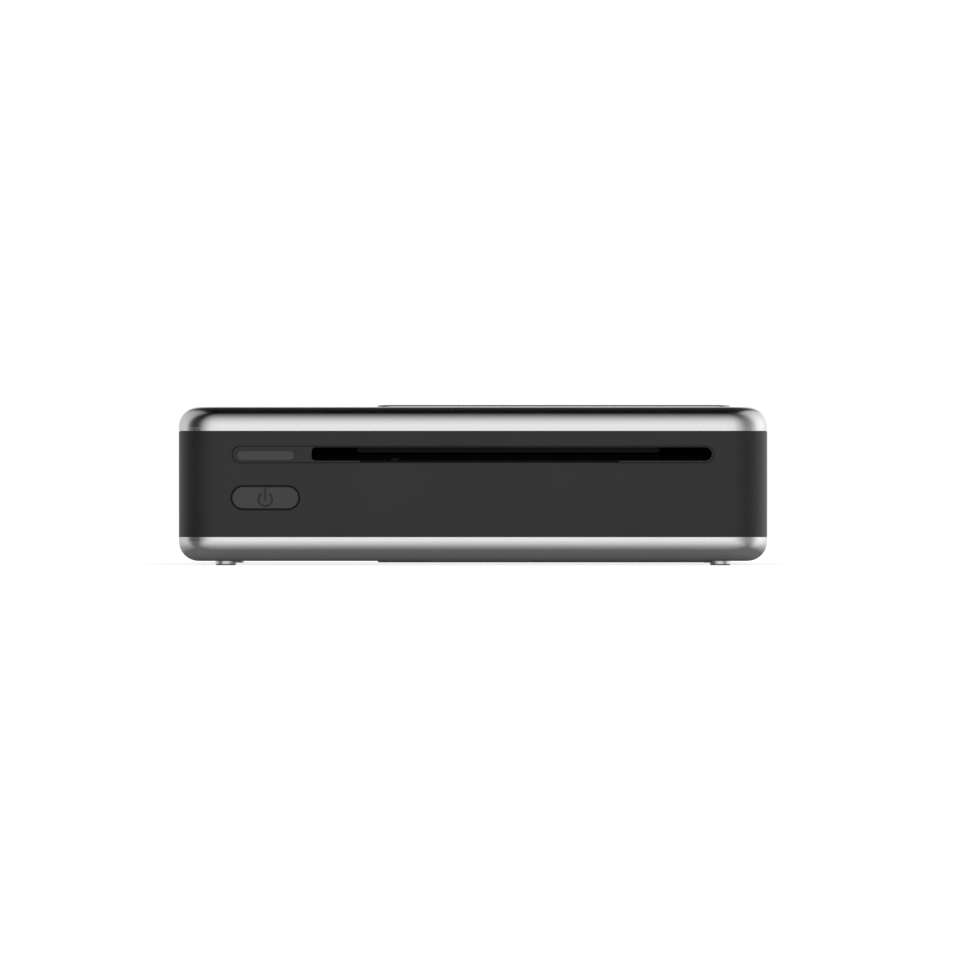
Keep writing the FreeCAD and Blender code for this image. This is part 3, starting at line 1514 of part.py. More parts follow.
pieces = {
    "bottom_shell": bottom_shell(),
    "base_plate": base_plate(),
    "foot_front_left": foot(-foot_x, -foot_y),
    "foot_front_right": foot(foot_x, -foot_y),
    "foot_rear_left": foot(-foot_x, foot_y),
    "foot_rear_right": foot(foot_x, foot_y),
    "casing_screws": group(shell_screws().Solids + strip_screws().Solids),
    "middle_housing": middle_housing(),
    "slot_bezel": slot_bezel(),
    "led_lens": led_lens(),
    "exit_guide": exit_guide(),
    "rear_strip": rear_strip(),
    "hinge_pins": group([hinge_pin(-knuckle_x), hinge_pin(knuckle_x)]),
    "power_button": power_button(),
    "button_board": button_board(),
    "power_switch": power_switch(),
    "status_leds": status_leds(),
    "cover_shell": cover_shell(),
    "cover_plate": cover_plate(),
    "cover_liner": cover_liner(),
    "liner_screws": liner_screws(),
    "pressure_plate": pressure_plate(),
    "pressure_pin": pressure_pin(),
    "pressure_springs": pressure_springs(),
    "paper_tray": paper_tray(),
    "print_frame": print_frame(),
    "frame_bridge": frame_bridge(),
    "inner_screws": group(frame_screws().Solids + board_screws().Solids),
    "separation_gate": separation_gate(),
    "paper_guide": paper_guide(),
    "paper_flag": paper_flag(),
    "flag_sensor": flag_sensor(),
    "thermal_head": thermal_head(),
    "head_heatsink": head_heatsink(),
    "head_pivot_pins": head_pivot_pins(),
    "head_springs": head_springs(),
    "platen_shaft": roller_shaft(platen_y),
    "platen_sleeve": platen_sleeve(),
    "platen_gear": roller_gear(platen_centre, platen_phase),
    "feed_shaft": roller_shaft(feed_y),
    "feed_sleeves": feed_sleeves(),
    "feed_gear": roller_gear(feed_centre, feed_phase),
    "pick_shaft": roller_shaft(pick_y),
    "pick_sleeve": pick_sleeve(),
    "pick_gear": roller_gear(pick_centre, pick_phase),
    "pinch_shaft": pinch_shaft(),
    "pinch_sleeves": pinch_sleeves(),
    "platen_idler": idler_gear(platen_idler_centre, platen_idler_teeth, platen_idler_phase),
    "pick_idler": idler_gear(pick_idler_centre, pick_idler_teeth, pick_idler_phase),
    "reduction_gear": reduction_gear(),
    "gear_studs": gear_studs(),
    "roller_bushes": roller_bushes(),
    "motor": motor(),
    "motor_shaft": motor_shaft(),
    "motor_pinion": motor_pinion(),
    "motor_screws": motor_screws(),
    "battery": battery(),
    "main_board": group([main_board()] + board_chips().Solids + board_connectors().Solids),
    "charging_socket": charging_socket(),
    "leads": group([battery_lead(), motor_lead(), head_lead()]),
}

os.makedirs("parts", exist_ok=True)
for name, shape in pieces.items():
    shape.exportStep(os.path.join("parts", name + ".step"))
print(len(pieces), "pieces")
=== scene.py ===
"""Looks of a compact photo printer: finishes, coil springs, the button's mark, the stage and the light."""

import logging
import math
from dataclasses import dataclass
from enum import Enum
from typing import Sequence

import bmesh
import bpy
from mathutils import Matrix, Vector


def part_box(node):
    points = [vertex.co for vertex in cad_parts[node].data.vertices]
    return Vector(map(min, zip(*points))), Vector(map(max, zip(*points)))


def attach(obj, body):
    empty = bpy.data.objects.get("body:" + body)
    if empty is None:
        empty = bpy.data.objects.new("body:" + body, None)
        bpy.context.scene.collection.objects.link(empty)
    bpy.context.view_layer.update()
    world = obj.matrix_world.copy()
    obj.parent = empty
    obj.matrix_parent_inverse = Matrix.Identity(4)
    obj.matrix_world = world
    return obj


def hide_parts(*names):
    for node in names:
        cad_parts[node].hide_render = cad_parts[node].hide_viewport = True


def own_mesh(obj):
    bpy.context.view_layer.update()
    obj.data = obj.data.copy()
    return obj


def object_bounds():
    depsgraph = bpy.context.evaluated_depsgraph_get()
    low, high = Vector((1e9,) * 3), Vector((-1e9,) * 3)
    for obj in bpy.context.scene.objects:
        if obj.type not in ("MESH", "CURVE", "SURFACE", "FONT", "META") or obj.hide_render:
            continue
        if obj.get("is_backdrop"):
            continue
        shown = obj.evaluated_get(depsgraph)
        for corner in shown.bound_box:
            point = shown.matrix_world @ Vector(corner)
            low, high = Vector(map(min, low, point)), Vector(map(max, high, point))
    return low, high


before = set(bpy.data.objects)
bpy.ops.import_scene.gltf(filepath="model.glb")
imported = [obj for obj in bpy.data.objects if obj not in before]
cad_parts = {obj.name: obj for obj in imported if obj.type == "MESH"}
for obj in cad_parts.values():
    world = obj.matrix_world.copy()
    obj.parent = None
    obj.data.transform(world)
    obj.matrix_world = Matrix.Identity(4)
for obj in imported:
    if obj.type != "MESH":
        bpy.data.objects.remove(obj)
log = logging.getLogger("photo_printer")

Colour = tuple[float, float, float]
MM = 0.001
LEVEL_START = 0.990
LEVEL_END = 0.9995


class Grain(Enum):
    """The direction in which a surface's fine marks run."""

    ALONG_X = (0.02, 1.0, 1.0)
    ALONG_Y = (1.0, 0.02, 1.0)
    AROUND_X = (1.0, 0.04, 0.04)
    EVEN = (1.0, 1.0, 1.0)


class Graph:
    """A material's node graph, with short calls for the nodes that the finishes share."""

    def __init__(self, name: str) -> None:
        """Starts a material that holds one Principled shader.

        Args:
            name: The material's name.
        """
        self.material = bpy.data.materials.new(name)
        self.material.use_nodes = True
        self.tree = self.material.node_tree
        self.shader = self.tree.nodes["Principled BSDF"]
        self.place = self.tree.nodes.new("ShaderNodeTexCoord").outputs["Object"]
        self.facing = self.tree.nodes.new("ShaderNodeTexCoord").outputs["Normal"]

    def put(self, socket: str, value: object) -> None:
        """Sets a plain value on one of the shader's sockets.

        Args:
            socket: The socket's name.
            value: A number, or a colour of three numbers.
        """
        whole = (*value, 1.0) if isinstance(value, tuple) else value
        self.shader.inputs[socket].default_value = whole

    def join(self, output: bpy.types.NodeSocket, socket: bpy.types.NodeSocket) -> None:
        """Links an output to an input."""
        self.tree.links.new(output, socket)

    def feed(self, output: bpy.types.NodeSocket, socket: str) -> None:
        """Links an output to one of the shader's sockets."""
        self.join(output, self.shader.inputs[socket])

    def stretched(self, grain: Grain) -> bpy.types.NodeSocket:
        """Gives object coordinates drawn out along a grain.

        Args:
            grain: The direction of the marks.

        Returns:
            The stretched coordinates.
        """
        mapping = self.tree.nodes.new("ShaderNodeMapping")
        mapping.inputs["Scale"].default_value = grain.value
        self.join(self.place, mapping.inputs["Vector"])
        return mapping.outputs["Vector"]

    def noise(self, size: float, grain: Grain = Grain.EVEN,
              detail: float = 3.0) -> bpy.types.NodeSocket:
        """Adds a noise texture.

        Args:
            size: The width of its cells, in metres.
            grain: The direction in which the cells are drawn out.
            detail: How many finer layers it has.

        Returns:
            Its value, 0 to 1.
        """
        texture = self.tree.nodes.new("ShaderNodeTexNoise")
        texture.inputs["Scale"].default_value = 1.0 / size
        texture.inputs["Detail"].default_value = detail
        self.join(self.stretched(grain), texture.inputs["Vector"])
        return texture.outputs["Fac"]

    def spread(self, value: bpy.types.NodeSocket, low: float, high: float,
               start: float = 0.3, end: float = 0.7) -> bpy.types.NodeSocket:
        """Maps a value onto a range.

        Args:
            value: The value to map.
            low: The result at start.
            high: The result at end.
            start: The value that gives low.
            end: The value that gives high.

        Returns:
            The mapped value.
        """
        node = self.tree.nodes.new("ShaderNodeMapRange")
        for name, number in (("From Min", start), ("From Max", end), ("To Min", low), ("To Max", high)):
            node.inputs[name].default_value = number
        self.join(value, node.inputs["Value"])
        return node.outputs["Result"]

    def blend(self, share: bpy.types.NodeSocket, first: object, second: object) -> bpy.types.NodeSocket:
        """Mixes two colours.

        Args:
            share: How much of the second shows.
            first: A colour, or an output that gives one.
            second: A colour, or an output that gives one.

        Returns:
            The mixed colour.
        """
        node = self.tree.nodes.new("ShaderNodeMix")
        node.data_type = "RGBA"
        self.join(share, node.inputs["Factor"])
        colours = [socket for socket in node.inputs if socket.type == "RGBA"]
        for socket, value in zip(colours, (first, second)):
            if isinstance(value, tuple):
                socket.default_value = (*value, 1.0)
            else:
                self.join(value, socket)
        return next(socket for socket in node.outputs if socket.type == "RGBA")

    def math(self, kind: str, first: object, second: object = 0.0) -> bpy.types.NodeSocket:
        """Adds a math node.

        Args:
            kind: The operation.
            first: A number or an output.
            second: A number or an output.

        Returns:
            The result.
        """
        node = self.tree.nodes.new("ShaderNodeMath")
        node.operation = kind
        for place, value in enumerate((first, second)):
            if isinstance(value, (int, float)):
                node.inputs[place].default_value = value
            else:
                self.join(value, node.inputs[place])
        return node.outputs[0]

    def vector(self, kind: str, first: object, second: object = None) -> bpy.types.NodeSocket:
        """Adds a vector math node.

        Args:
            kind: The operation.
            first: Three numbers or an output.
            second: Three numbers or an output.

        Returns:
            The resulting vector.
        """
        node = self.tree.nodes.new("ShaderNodeVectorMath")
        node.operation = kind
        for place, value in enumerate((first, second)):
            if isinstance(value, tuple):
                node.inputs[place].default_value = value
            elif value is not None:
                self.join(value, node.inputs[place])
        return node.outputs[0]

    def length(self, vector: bpy.types.NodeSocket) -> bpy.types.NodeSocket:
        """Gives a vector's length."""
        node = self.tree.nodes.new("ShaderNodeVectorMath")
        node.operation = "LENGTH"
        self.join(vector, node.inputs[0])
        return node.outputs["Value"]

    def axis(self, letter: str) -> bpy.types.NodeSocket:
        """Gives one object coordinate, in metres, by its letter."""
        parts = self.tree.nodes.new("ShaderNodeSeparateXYZ")
        self.join(self.place, parts.inputs["Vector"])
        return parts.outputs[letter]

    def level(self) -> bpy.types.NodeSocket:
        """Gives 1 on the faces that lie level while the printer stands shut, and 0 on the rest."""
        parts = self.tree.nodes.new("ShaderNodeSeparateXYZ")
        self.join(self.facing, parts.inputs["Vector"])
        return self.spread(self.math("ABSOLUTE", parts.outputs["Z"]), 0.0, 1.0, LEVEL_START, LEVEL_END)

    def step(self, value: bpy.types.NodeSocket, edge: float) -> bpy.types.NodeSocket:
        """Gives 1 where a value is above an edge, and 0 elsewhere."""
        return self.math("GREATER_THAN", value, edge)

    def banded(self, value: bpy.types.NodeSocket, count: float) -> bpy.types.NodeSocket:
        """Folds a value into bands that rise and fall, for tracks and rings.

        Args:
            value: The value, 0 to 1.
            count: The number of bands.

        Returns:
            The folded value, 0 to 1.
        """
        return self.math("PINGPONG", self.math("MULTIPLY", value, 2.0 * count), 1.0)

    def dots(self, spacing: float, radius: float) -> bpy.types.NodeSocket:
        """Scatters round dots.

        Args:
            spacing: The usual distance between them, in metres.
            radius: Their radius, in metres.

        Returns:
            1 on a dot and 0 elsewhere.
        """
        texture = self.tree.nodes.new("ShaderNodeTexVoronoi")
        texture.inputs["Scale"].default_value = 1.0 / spacing
        self.join(self.place, texture.inputs["Vector"])
        return self.math("LESS_THAN", texture.outputs["Distance"], radius / spacing)

    def bump(self, height: bpy.types.NodeSocket, depth: float, strength: float = 1.0,
             edge_radius: float = 0.0) -> None:
        """Raises the surface by a height value, over edges that may be rounded.

        Args:
            height: The height, 0 to 1.
            depth: What 1 stands for, in metres.
            strength: How much of it shows.
            edge_radius: The radius to which the edges are rounded, in metres.
        """
        node = self.tree.nodes.new("ShaderNodeBump")
        node.inputs["Distance"].default_value = depth
        node.inputs["Strength"].default_value = strength
        self.join(height, node.inputs["Height"])
        if edge_radius > 0.0:
            rounded = self.tree.nodes.new("ShaderNodeBevel")
            rounded.inputs["Radius"].default_value = edge_radius
            self.join(rounded.outputs["Normal"], node.inputs["Normal"])
        self.feed(node.outputs["Normal"], "Normal")


@dataclass(frozen=True)
class MetalFinish:
    """Bare or coated metal with fine marks in one direction."""

    name: str
    colour: Colour
    roughness: float
    grain: Grain = Grain.EVEN
    mark_size: float = 0.3 * MM
    mark_depth: float = 0.002 * MM
    roughness_spread: float = 0.06
    tone_spread: float = 0.06
    metallic: float = 1.0
    edge_radius: float = 0.0
    level_metallic: float = 1.0
    level_roughness: float = 0.0

    def make(self) -> bpy.types.Material:
        """Builds the material.

        Returns:
            The material.
        """
        graph = Graph(self.name)
        marks = graph.noise(self.mark_size, self.grain)
        clouds = graph.noise(self.mark_size * 30, Grain.EVEN, 2.0)
        darker = tuple(channel * (1.0 - self.tone_spread) for channel in self.colour)
        graph.feed(graph.blend(graph.spread(marks, 0.0, 1.0), darker, self.colour), "Base Color")
        roughness = graph.spread(clouds, self.roughness - self.roughness_spread / 2,
                                 self.roughness + self.roughness_spread / 2)
        if self.level_roughness > 0.0:
            level = graph.level()
            graph.feed(graph.spread(level, self.metallic, self.level_metallic, 0.0, 1.0), "Metallic")
            added = graph.math("MULTIPLY", level, self.level_roughness - self.roughness)
            roughness = graph.math("ADD", roughness, added)
        else:
            graph.put("Metallic", self.metallic)
        graph.feed(roughness, "Roughness")
        graph.bump(marks, self.mark_depth, edge_radius=self.edge_radius)
        return graph.material


@dataclass(frozen=True)
class MouldedFinish:
    """Moulded plastic with the fine eroded texture of its mould."""

    name: str
    colour: Colour
    roughness: float
    texture_size: float = 0.12 * MM
    texture_depth: float = 0.004 * MM
    tone_spread: float = 0.12
    specular: float = 0.5
    translucency: float = 0.0
    light_depth: float = 0.5 * MM
    edge_radius: float = 0.0

    def make(self) -> bpy.types.Material:
        """Builds the material.

        Returns:
            The material.
        """
        graph = Graph(self.name)
        pits = graph.noise(self.texture_size, Grain.EVEN, 4.0)
        flow = graph.noise(self.texture_size * 120, Grain.EVEN, 2.0)
        darker = tuple(channel * (1.0 - self.tone_spread) for channel in self.colour)
        graph.feed(graph.blend(graph.spread(flow, 0.0, 1.0), darker, self.colour), "Base Color")
        graph.feed(graph.spread(pits, self.roughness - 0.05, self.roughness + 0.05), "Roughness")
        graph.put("Specular IOR Level", self.specular)
        graph.put("Subsurface Weight", self.translucency)
        graph.put("Subsurface Scale", self.light_depth)
        graph.bump(pits, self.texture_depth, edge_radius=self.edge_radius)
        return graph.material


@dataclass(frozen=True)
class RubberFinish:
    """Ground rubber with rings of fine marks round its axis and a little dust."""

    name: str
    colour: Colour = (0.035, 0.035, 0.037)
    dust: Colour = (0.10, 0.098, 0.094)
    roughness: float = 0.78

    def make(self) -> bpy.types.Material:
        """Builds the material.

        Returns:
            The material.
        """
        graph = Graph(self.name)
        rings = graph.noise(0.15 * MM, Grain.AROUND_X, 3.0)
        patches = graph.noise(0.6 * MM, Grain.AROUND_X, 4.0)
        dusty = graph.spread(patches, 0.0, 0.5, 0.40, 0.75)
        graph.feed(graph.blend(dusty, self.colour, self.dust), "Base Color")
        graph.feed(graph.spread(rings, self.roughness - 0.08, self.roughness + 0.08), "Roughness")
        graph.bump(rings, 0.01 * MM)
        return graph.material


@dataclass(frozen=True)
class LensFinish:
    """Frosted light window, lit by nothing while the printer is off."""

    name: str
    colour: Colour
    roughness: float = 0.38
    depth: float = 0.5 * MM
    depth_share: float = 0.25
    coat: float = 0.3
    coat_roughness: float = 0.1

    def make(self) -> bpy.types.Material:
        """Builds the material.

        Returns:
            The material.
        """
        graph = Graph(self.name)
        frost = graph.noise(0.05 * MM, Grain.EVEN, 2.0)
        cells = graph.noise(1.6 * MM, Grain.EVEN, 1.0)
        paler = tuple(min(1.0, channel * 1.25) for channel in self.colour)
        graph.feed(graph.blend(graph.spread(cells, 0.0, 1.0), self.colour, paler), "Base Color")
        graph.feed(graph.spread(frost, self.roughness - 0.05, self.roughness + 0.05), "Roughness")
        graph.put("Subsurface Weight", self.depth_share)
        graph.put("Subsurface Scale", self.depth)
        graph.put("Coat Weight", self.coat)
        graph.put("Coat Roughness", self.coat_roughness)
        graph.bump(frost, 0.002 * MM)
        return graph.material


@dataclass(frozen=True)
class FoilFinish:
    """The crinkled foil pouch of a battery."""

    name: str
    colour: Colour = (0.50, 0.52, 0.55)
    roughness: float = 0.42

    def make(self) -> bpy.types.Material:
        """Builds the material.

        Returns:
            The material.
        """
        graph = Graph(self.name)
        creases = graph.noise(5.0 * MM, Grain.EVEN, 6.0)
        # painted shade: the foil is darker in the low parts of its creases, where the same noise bumps it
        # down.
        shade = tuple(channel * 0.82 for channel in self.colour)
        graph.feed(graph.blend(graph.spread(creases, 0.0, 1.0), shade, self.colour), "Base Color")
        graph.feed(graph.spread(creases, self.roughness + 0.1, self.roughness - 0.08), "Roughness")
        graph.put("Metallic", 0.85)
        graph.bump(creases, 0.12 * MM, 0.6)
        return graph.material


@dataclass(frozen=True)
class BoardFinish:
    """A populated circuit board: green mask over tracks, tinned dots, dark chips, cream connectors."""

    name: str
    board_top: float
    parts_front: float
    connector_rear: float
    mask: Colour = (0.012, 0.085, 0.035)
    track: Colour = (0.022, 0.135, 0.056)
    tin: Colour = (0.46, 0.44, 0.38)
    chip: Colour = (0.024, 0.024, 0.026)
    connector: Colour = (0.64, 0.60, 0.50)
    coat: float = 0.25
    coat_roughness: float = 0.2

    def make(self) -> bpy.types.Material:
        """Builds the material.

        Returns:
            The material.
        """
        graph = Graph(self.name)
        across = graph.noise(6.0 * MM, Grain.ALONG_Y, 0.0)
        along = graph.noise(6.0 * MM, Grain.ALONG_X, 0.0)
        tracks = graph.math("MAXIMUM", graph.banded(across, 9.0), graph.banded(along, 5.0))
        copper = graph.blend(graph.spread(tracks, 0.0, 1.0, 0.66, 0.74), self.mask, self.track)
        tinned = graph.blend(graph.dots(2.6 * MM, 0.26 * MM), copper, self.tin)
        above = graph.step(graph.axis("Z"), self.board_top + 0.05 * MM)
        above = graph.math("MULTIPLY", above, graph.step(graph.axis("Y"), self.parts_front))
        behind = graph.step(graph.axis("Y"), self.connector_rear)
        parts = graph.blend(behind, self.connector, self.chip)
        graph.feed(graph.blend(above, tinned, parts), "Base Color")
        graph.feed(graph.spread(above, 0.32, 0.5, 0.0, 1.0), "Roughness")
        graph.put("Coat Weight", self.coat)
        graph.put("Coat Roughness", self.coat_roughness)
        graph.bump(tracks, 0.01 * MM, 0.5, edge_radius=0.08 * MM)
        return graph.material


@dataclass(frozen=True)
class CeramicFinish:
    """The head's glazed strip, with the thin dark line that heats the sheet."""

    name: str
    line_y: float
    line_width: float = 0.35 * MM
    body: Colour = (0.60, 0.56, 0.46)
    line: Colour = (0.05, 0.035, 0.03)
    coat: float = 0.6
    coat_roughness: float = 0.06

    def make(self) -> bpy.types.Material:
        """Builds the material.

        Returns:
            The material.
        """
        graph = Graph(self.name)
        off_line = graph.math("ABSOLUTE", graph.math("SUBTRACT", graph.axis("Y"), self.line_y))
        beside = graph.step(off_line, self.line_width / 2)
        graph.feed(graph.blend(beside, self.line, self.body), "Base Color")
        wash = graph.noise(1.5 * MM, Grain.ALONG_X)
        graph.feed(graph.spread(wash, 0.14, 0.24), "Roughness")
        graph.put("Coat Weight", self.coat)
        graph.put("Coat Roughness", self.coat_roughness)
        return graph.material


@dataclass(frozen=True)
class PaintFinish:
    """A printed mark on plastic."""

    name: str
    colour: Colour

    def make(self) -> bpy.types.Material:
        """Builds the material.

        Returns:
            The material.
        """
        graph = Graph(self.name)
        grain = graph.noise(0.05 * MM)
        paler = tuple(channel * 1.3 for channel in self.colour)
        graph.feed(graph.blend(graph.spread(grain, 0.0, 1.0), self.colour, paler), "Base Color")
        graph.feed(graph.spread(grain, 0.42, 0.54), "Roughness")
        graph.put("Specular IOR Level", 0.25)
        return graph.material


Finish = (MetalFinish | MouldedFinish | RubberFinish | LensFinish | FoilFinish | BoardFinish
          | CeramicFinish | PaintFinish)


@dataclass
class FinishShelf:
    """Every material slot's finish, made once and put on the nodes that name it."""

    silver: Colour = (0.725, 0.725, 0.728)
    board_thickness: float = 1.0 * MM
    board_front_room: float = 1.0 * MM
    connector_depth: float = 5.0 * MM

    def finishes(self) -> list[Finish]:
        """Lists the finishes, each named after its material slot.

        Returns:
            The finishes.
        """
        board_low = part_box("main_board")[0]
        roller_low, roller_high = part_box("platen_sleeve")
        return [
            MetalFinish("silver_shell", self.silver, 0.17, mark_size=0.06 * MM, mark_depth=0.0005 * MM,
                        roughness_spread=0.03, tone_spread=0.03, level_metallic=0.30, level_roughness=0.42),
            MetalFinish("raised_plate", (0.56, 0.56, 0.565), 0.30, Grain.ALONG_X, mark_size=0.10 * MM,
                        mark_depth=0.0005 * MM, roughness_spread=0.03, tone_spread=0.08,
                        level_metallic=0.35, level_roughness=0.38),
            MetalFinish("foot_chrome", (0.72, 0.72, 0.74), 0.10, mark_size=0.2 * MM,
                        mark_depth=0.0004 * MM, roughness_spread=0.03, tone_spread=0.02),
            MouldedFinish("dark_band", (0.032, 0.032, 0.0325), 0.42, specular=0.3),
            MouldedFinish("button_face", (0.071, 0.071, 0.0715), 0.40, specular=0.35),
            LensFinish("light_lens", (0.028, 0.027, 0.0245)),
            MouldedFinish("black_plastic", (0.006, 0.006, 0.0062), 0.48, texture_size=0.16 * MM,
                          texture_depth=0.006 * MM, specular=0.14),
            MouldedFinish("tray_plastic", (0.062, 0.062, 0.065), 0.40, texture_size=0.18 * MM,
                          texture_depth=0.006 * MM, edge_radius=0.18 * MM),
            MetalFinish("steel", (0.66, 0.665, 0.67), 0.36, Grain.ALONG_X, mark_size=0.25 * MM,
                        metallic=0.75, edge_radius=0.10 * MM),
            MetalFinish("motor_can", (0.60, 0.60, 0.60), 0.24, Grain.AROUND_X, mark_size=0.2 * MM,
                        mark_depth=0.0015 * MM),
            MetalFinish("spring_steel", (0.50, 0.50, 0.51), 0.25, mark_size=0.15 * MM,
                        mark_depth=0.001 * MM),
            MetalFinish("screw_steel", (0.34, 0.34, 0.36), 0.32, mark_size=0.2 * MM),
            CeramicFinish("ceramic_strip", (roller_low.y + roller_high.y) / 2),
            MetalFinish("heatsink", (0.66, 0.665, 0.67), 0.34, Grain.ALONG_X, mark_depth=0.004 * MM,
                        metallic=0.75, edge_radius=0.10 * MM),
            RubberFinish("roller_rubber"),
            MouldedFinish("gear_white", (0.70, 0.69, 0.65), 0.42, translucency=0.15,
                          edge_radius=0.05 * MM),
            MetalFinish("brass", (0.72, 0.52, 0.25), 0.28, mark_size=0.2 * MM),
            FoilFinish("battery_wrap"),
            BoardFinish("circuit_board", board_low.z + self.board_thickness,
                        board_low.y - self.board_front_room, board_low.y + self.connector_depth),
            MouldedFinish("switch_body", (0.045, 0.045, 0.047), 0.46),
            LensFinish("led_chip", (0.70, 0.66, 0.42), 0.3),
            MetalFinish("socket_steel", (0.58, 0.58, 0.59), 0.22, Grain.ALONG_Y, mark_size=0.2 * MM,
                        mark_depth=0.001 * MM),
            MouldedFinish("lead_sleeve", (0.20, 0.016, 0.012), 0.42),
        ]

    def dress(self) -> dict[str, bpy.types.Material]:
        """Makes each finish and puts it on the slots of its name.

        Returns:
            The materials by slot name.
        """
        materials = {}
        for finish in self.finishes():
            slot_name = finish.name
            old = bpy.data.materials.get(slot_name)
            if old is not None:
                old.name = slot_name + "_plain"
            materials[slot_name] = finish.make()
        for name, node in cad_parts.items():
            for holder in node.material_slots:
                wanted = holder.material.name.removesuffix("_plain") if holder.material else ""
                if wanted not in materials:
                    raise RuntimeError(f"{name} has a slot with no finish: {wanted}")
                holder.material = materials[wanted]
                log.info("%s is dressed in %s", name, wanted)
        return materials


@dataclass
class CoilSprings:
    """Compression springs of round wire with closed ends, wound upright, as one piece for one joint."""

    name: str
    node: str
    body: str
    joint: str
    keep: float
    spacing: float
    count: int
    wire: float = 0.30 * MM
    turns: float = 5.5
    sides: int = 8
    steps: int = 20

    def centres(self) -> list[tuple[float, float]]:
        """Gives the springs' axes, side by side in the box of their CAD node.

        Returns:
            The X and Y of each axis.
        """
        low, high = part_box(self.node)
        middle = (low + high) / 2
        first = middle.x - self.spacing * (self.count - 1) / 2
        return [(first + self.spacing * place, middle.y) for place in range(self.count)]

    def height_share(self, share: float) -> float:
        """Gives how high the wire is at a share of its length, with a flat turn at each end.

        Args:
            share: The share of the wire's length, 0 to 1.

        Returns:
            The share of the spring's height.
        """
        flat = 1.0 / self.turns
        return min(1.0, max(0.0, (share - flat / 2) / (1.0 - flat)))

    def coil(self, mesh: bmesh.types.BMesh, centre: tuple[float, float], bottom: float, top: float,
             radius: float) -> None:
        """Winds one spring.

        Args:
            mesh: The mesh that it goes into.
            centre: Its axis.
            bottom: Its lowest level.
            top: Its highest level.
            radius: Its outer radius.
        """
        count = int(self.turns * self.steps)
        middle_radius = radius - self.wire / 2
        rise = top - bottom - self.wire
        rings = []
        for step in range(count + 1):
            share = step / count
            angle = 2 * math.pi * self.turns * share
            outward = Vector((math.cos(angle), math.sin(angle), 0.0))
            level = bottom + self.wire / 2 + rise * self.height_share(share)
            point = Vector((centre[0], centre[1], level)) + outward * middle_radius
            ring = []
            for side in range(self.sides):
                turn = 2 * math.pi * side / self.sides
                offset = outward * math.cos(turn) + Vector((0.0, 0.0, math.sin(turn)))
                ring.append(mesh.verts.new(point + offset * self.wire / 2))
            rings.append(ring)
        for lower, upper in zip(rings, rings[1:]):
            for side in range(self.sides):
                after = (side + 1) % self.sides
                mesh.faces.new((lower[side], lower[after], upper[after], upper[side]))
        mesh.faces.new(reversed(rings[0]))
        mesh.faces.new(rings[-1])

    def build(self, material: bpy.types.Material) -> bpy.types.Object:
        """Winds the springs in place of their CAD tubes, which it hides, and hangs them on their body.

        Args:
            material: The wire's material.

        Returns:
            The piece.
        """
        low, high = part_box(self.node)
        mesh = bmesh.new()
        for centre in self.centres():
            self.coil(mesh, centre, low.z, high.z, (high.y - low.y) / 2)
        piece = new_piece(self.name, mesh, material)
        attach(piece, self.body)
        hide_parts(self.node)
        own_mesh(piece)
        log.info("%s: %d springs", self.name, self.count)
        return piece


def new_piece(name: str, mesh: bmesh.types.BMesh, material: bpy.types.Material) -> bpy.types.Object:
    """Turns a working mesh into a smooth-shaded object with one material.

    Args:
        name: The object's name.
        mesh: The working mesh, which is freed.
        material: Its material.

    Returns:
        The object.
    """
    bmesh.ops.recalc_face_normals(mesh, faces=mesh.faces)
    data = bpy.data.meshes.new(name)
    mesh.to_mesh(data)
    mesh.free()
    data.materials.append(material)
    data.shade_smooth()
    piece = bpy.data.objects.new(name, data)
    bpy.context.scene.collection.objects.link(piece)
    return piece


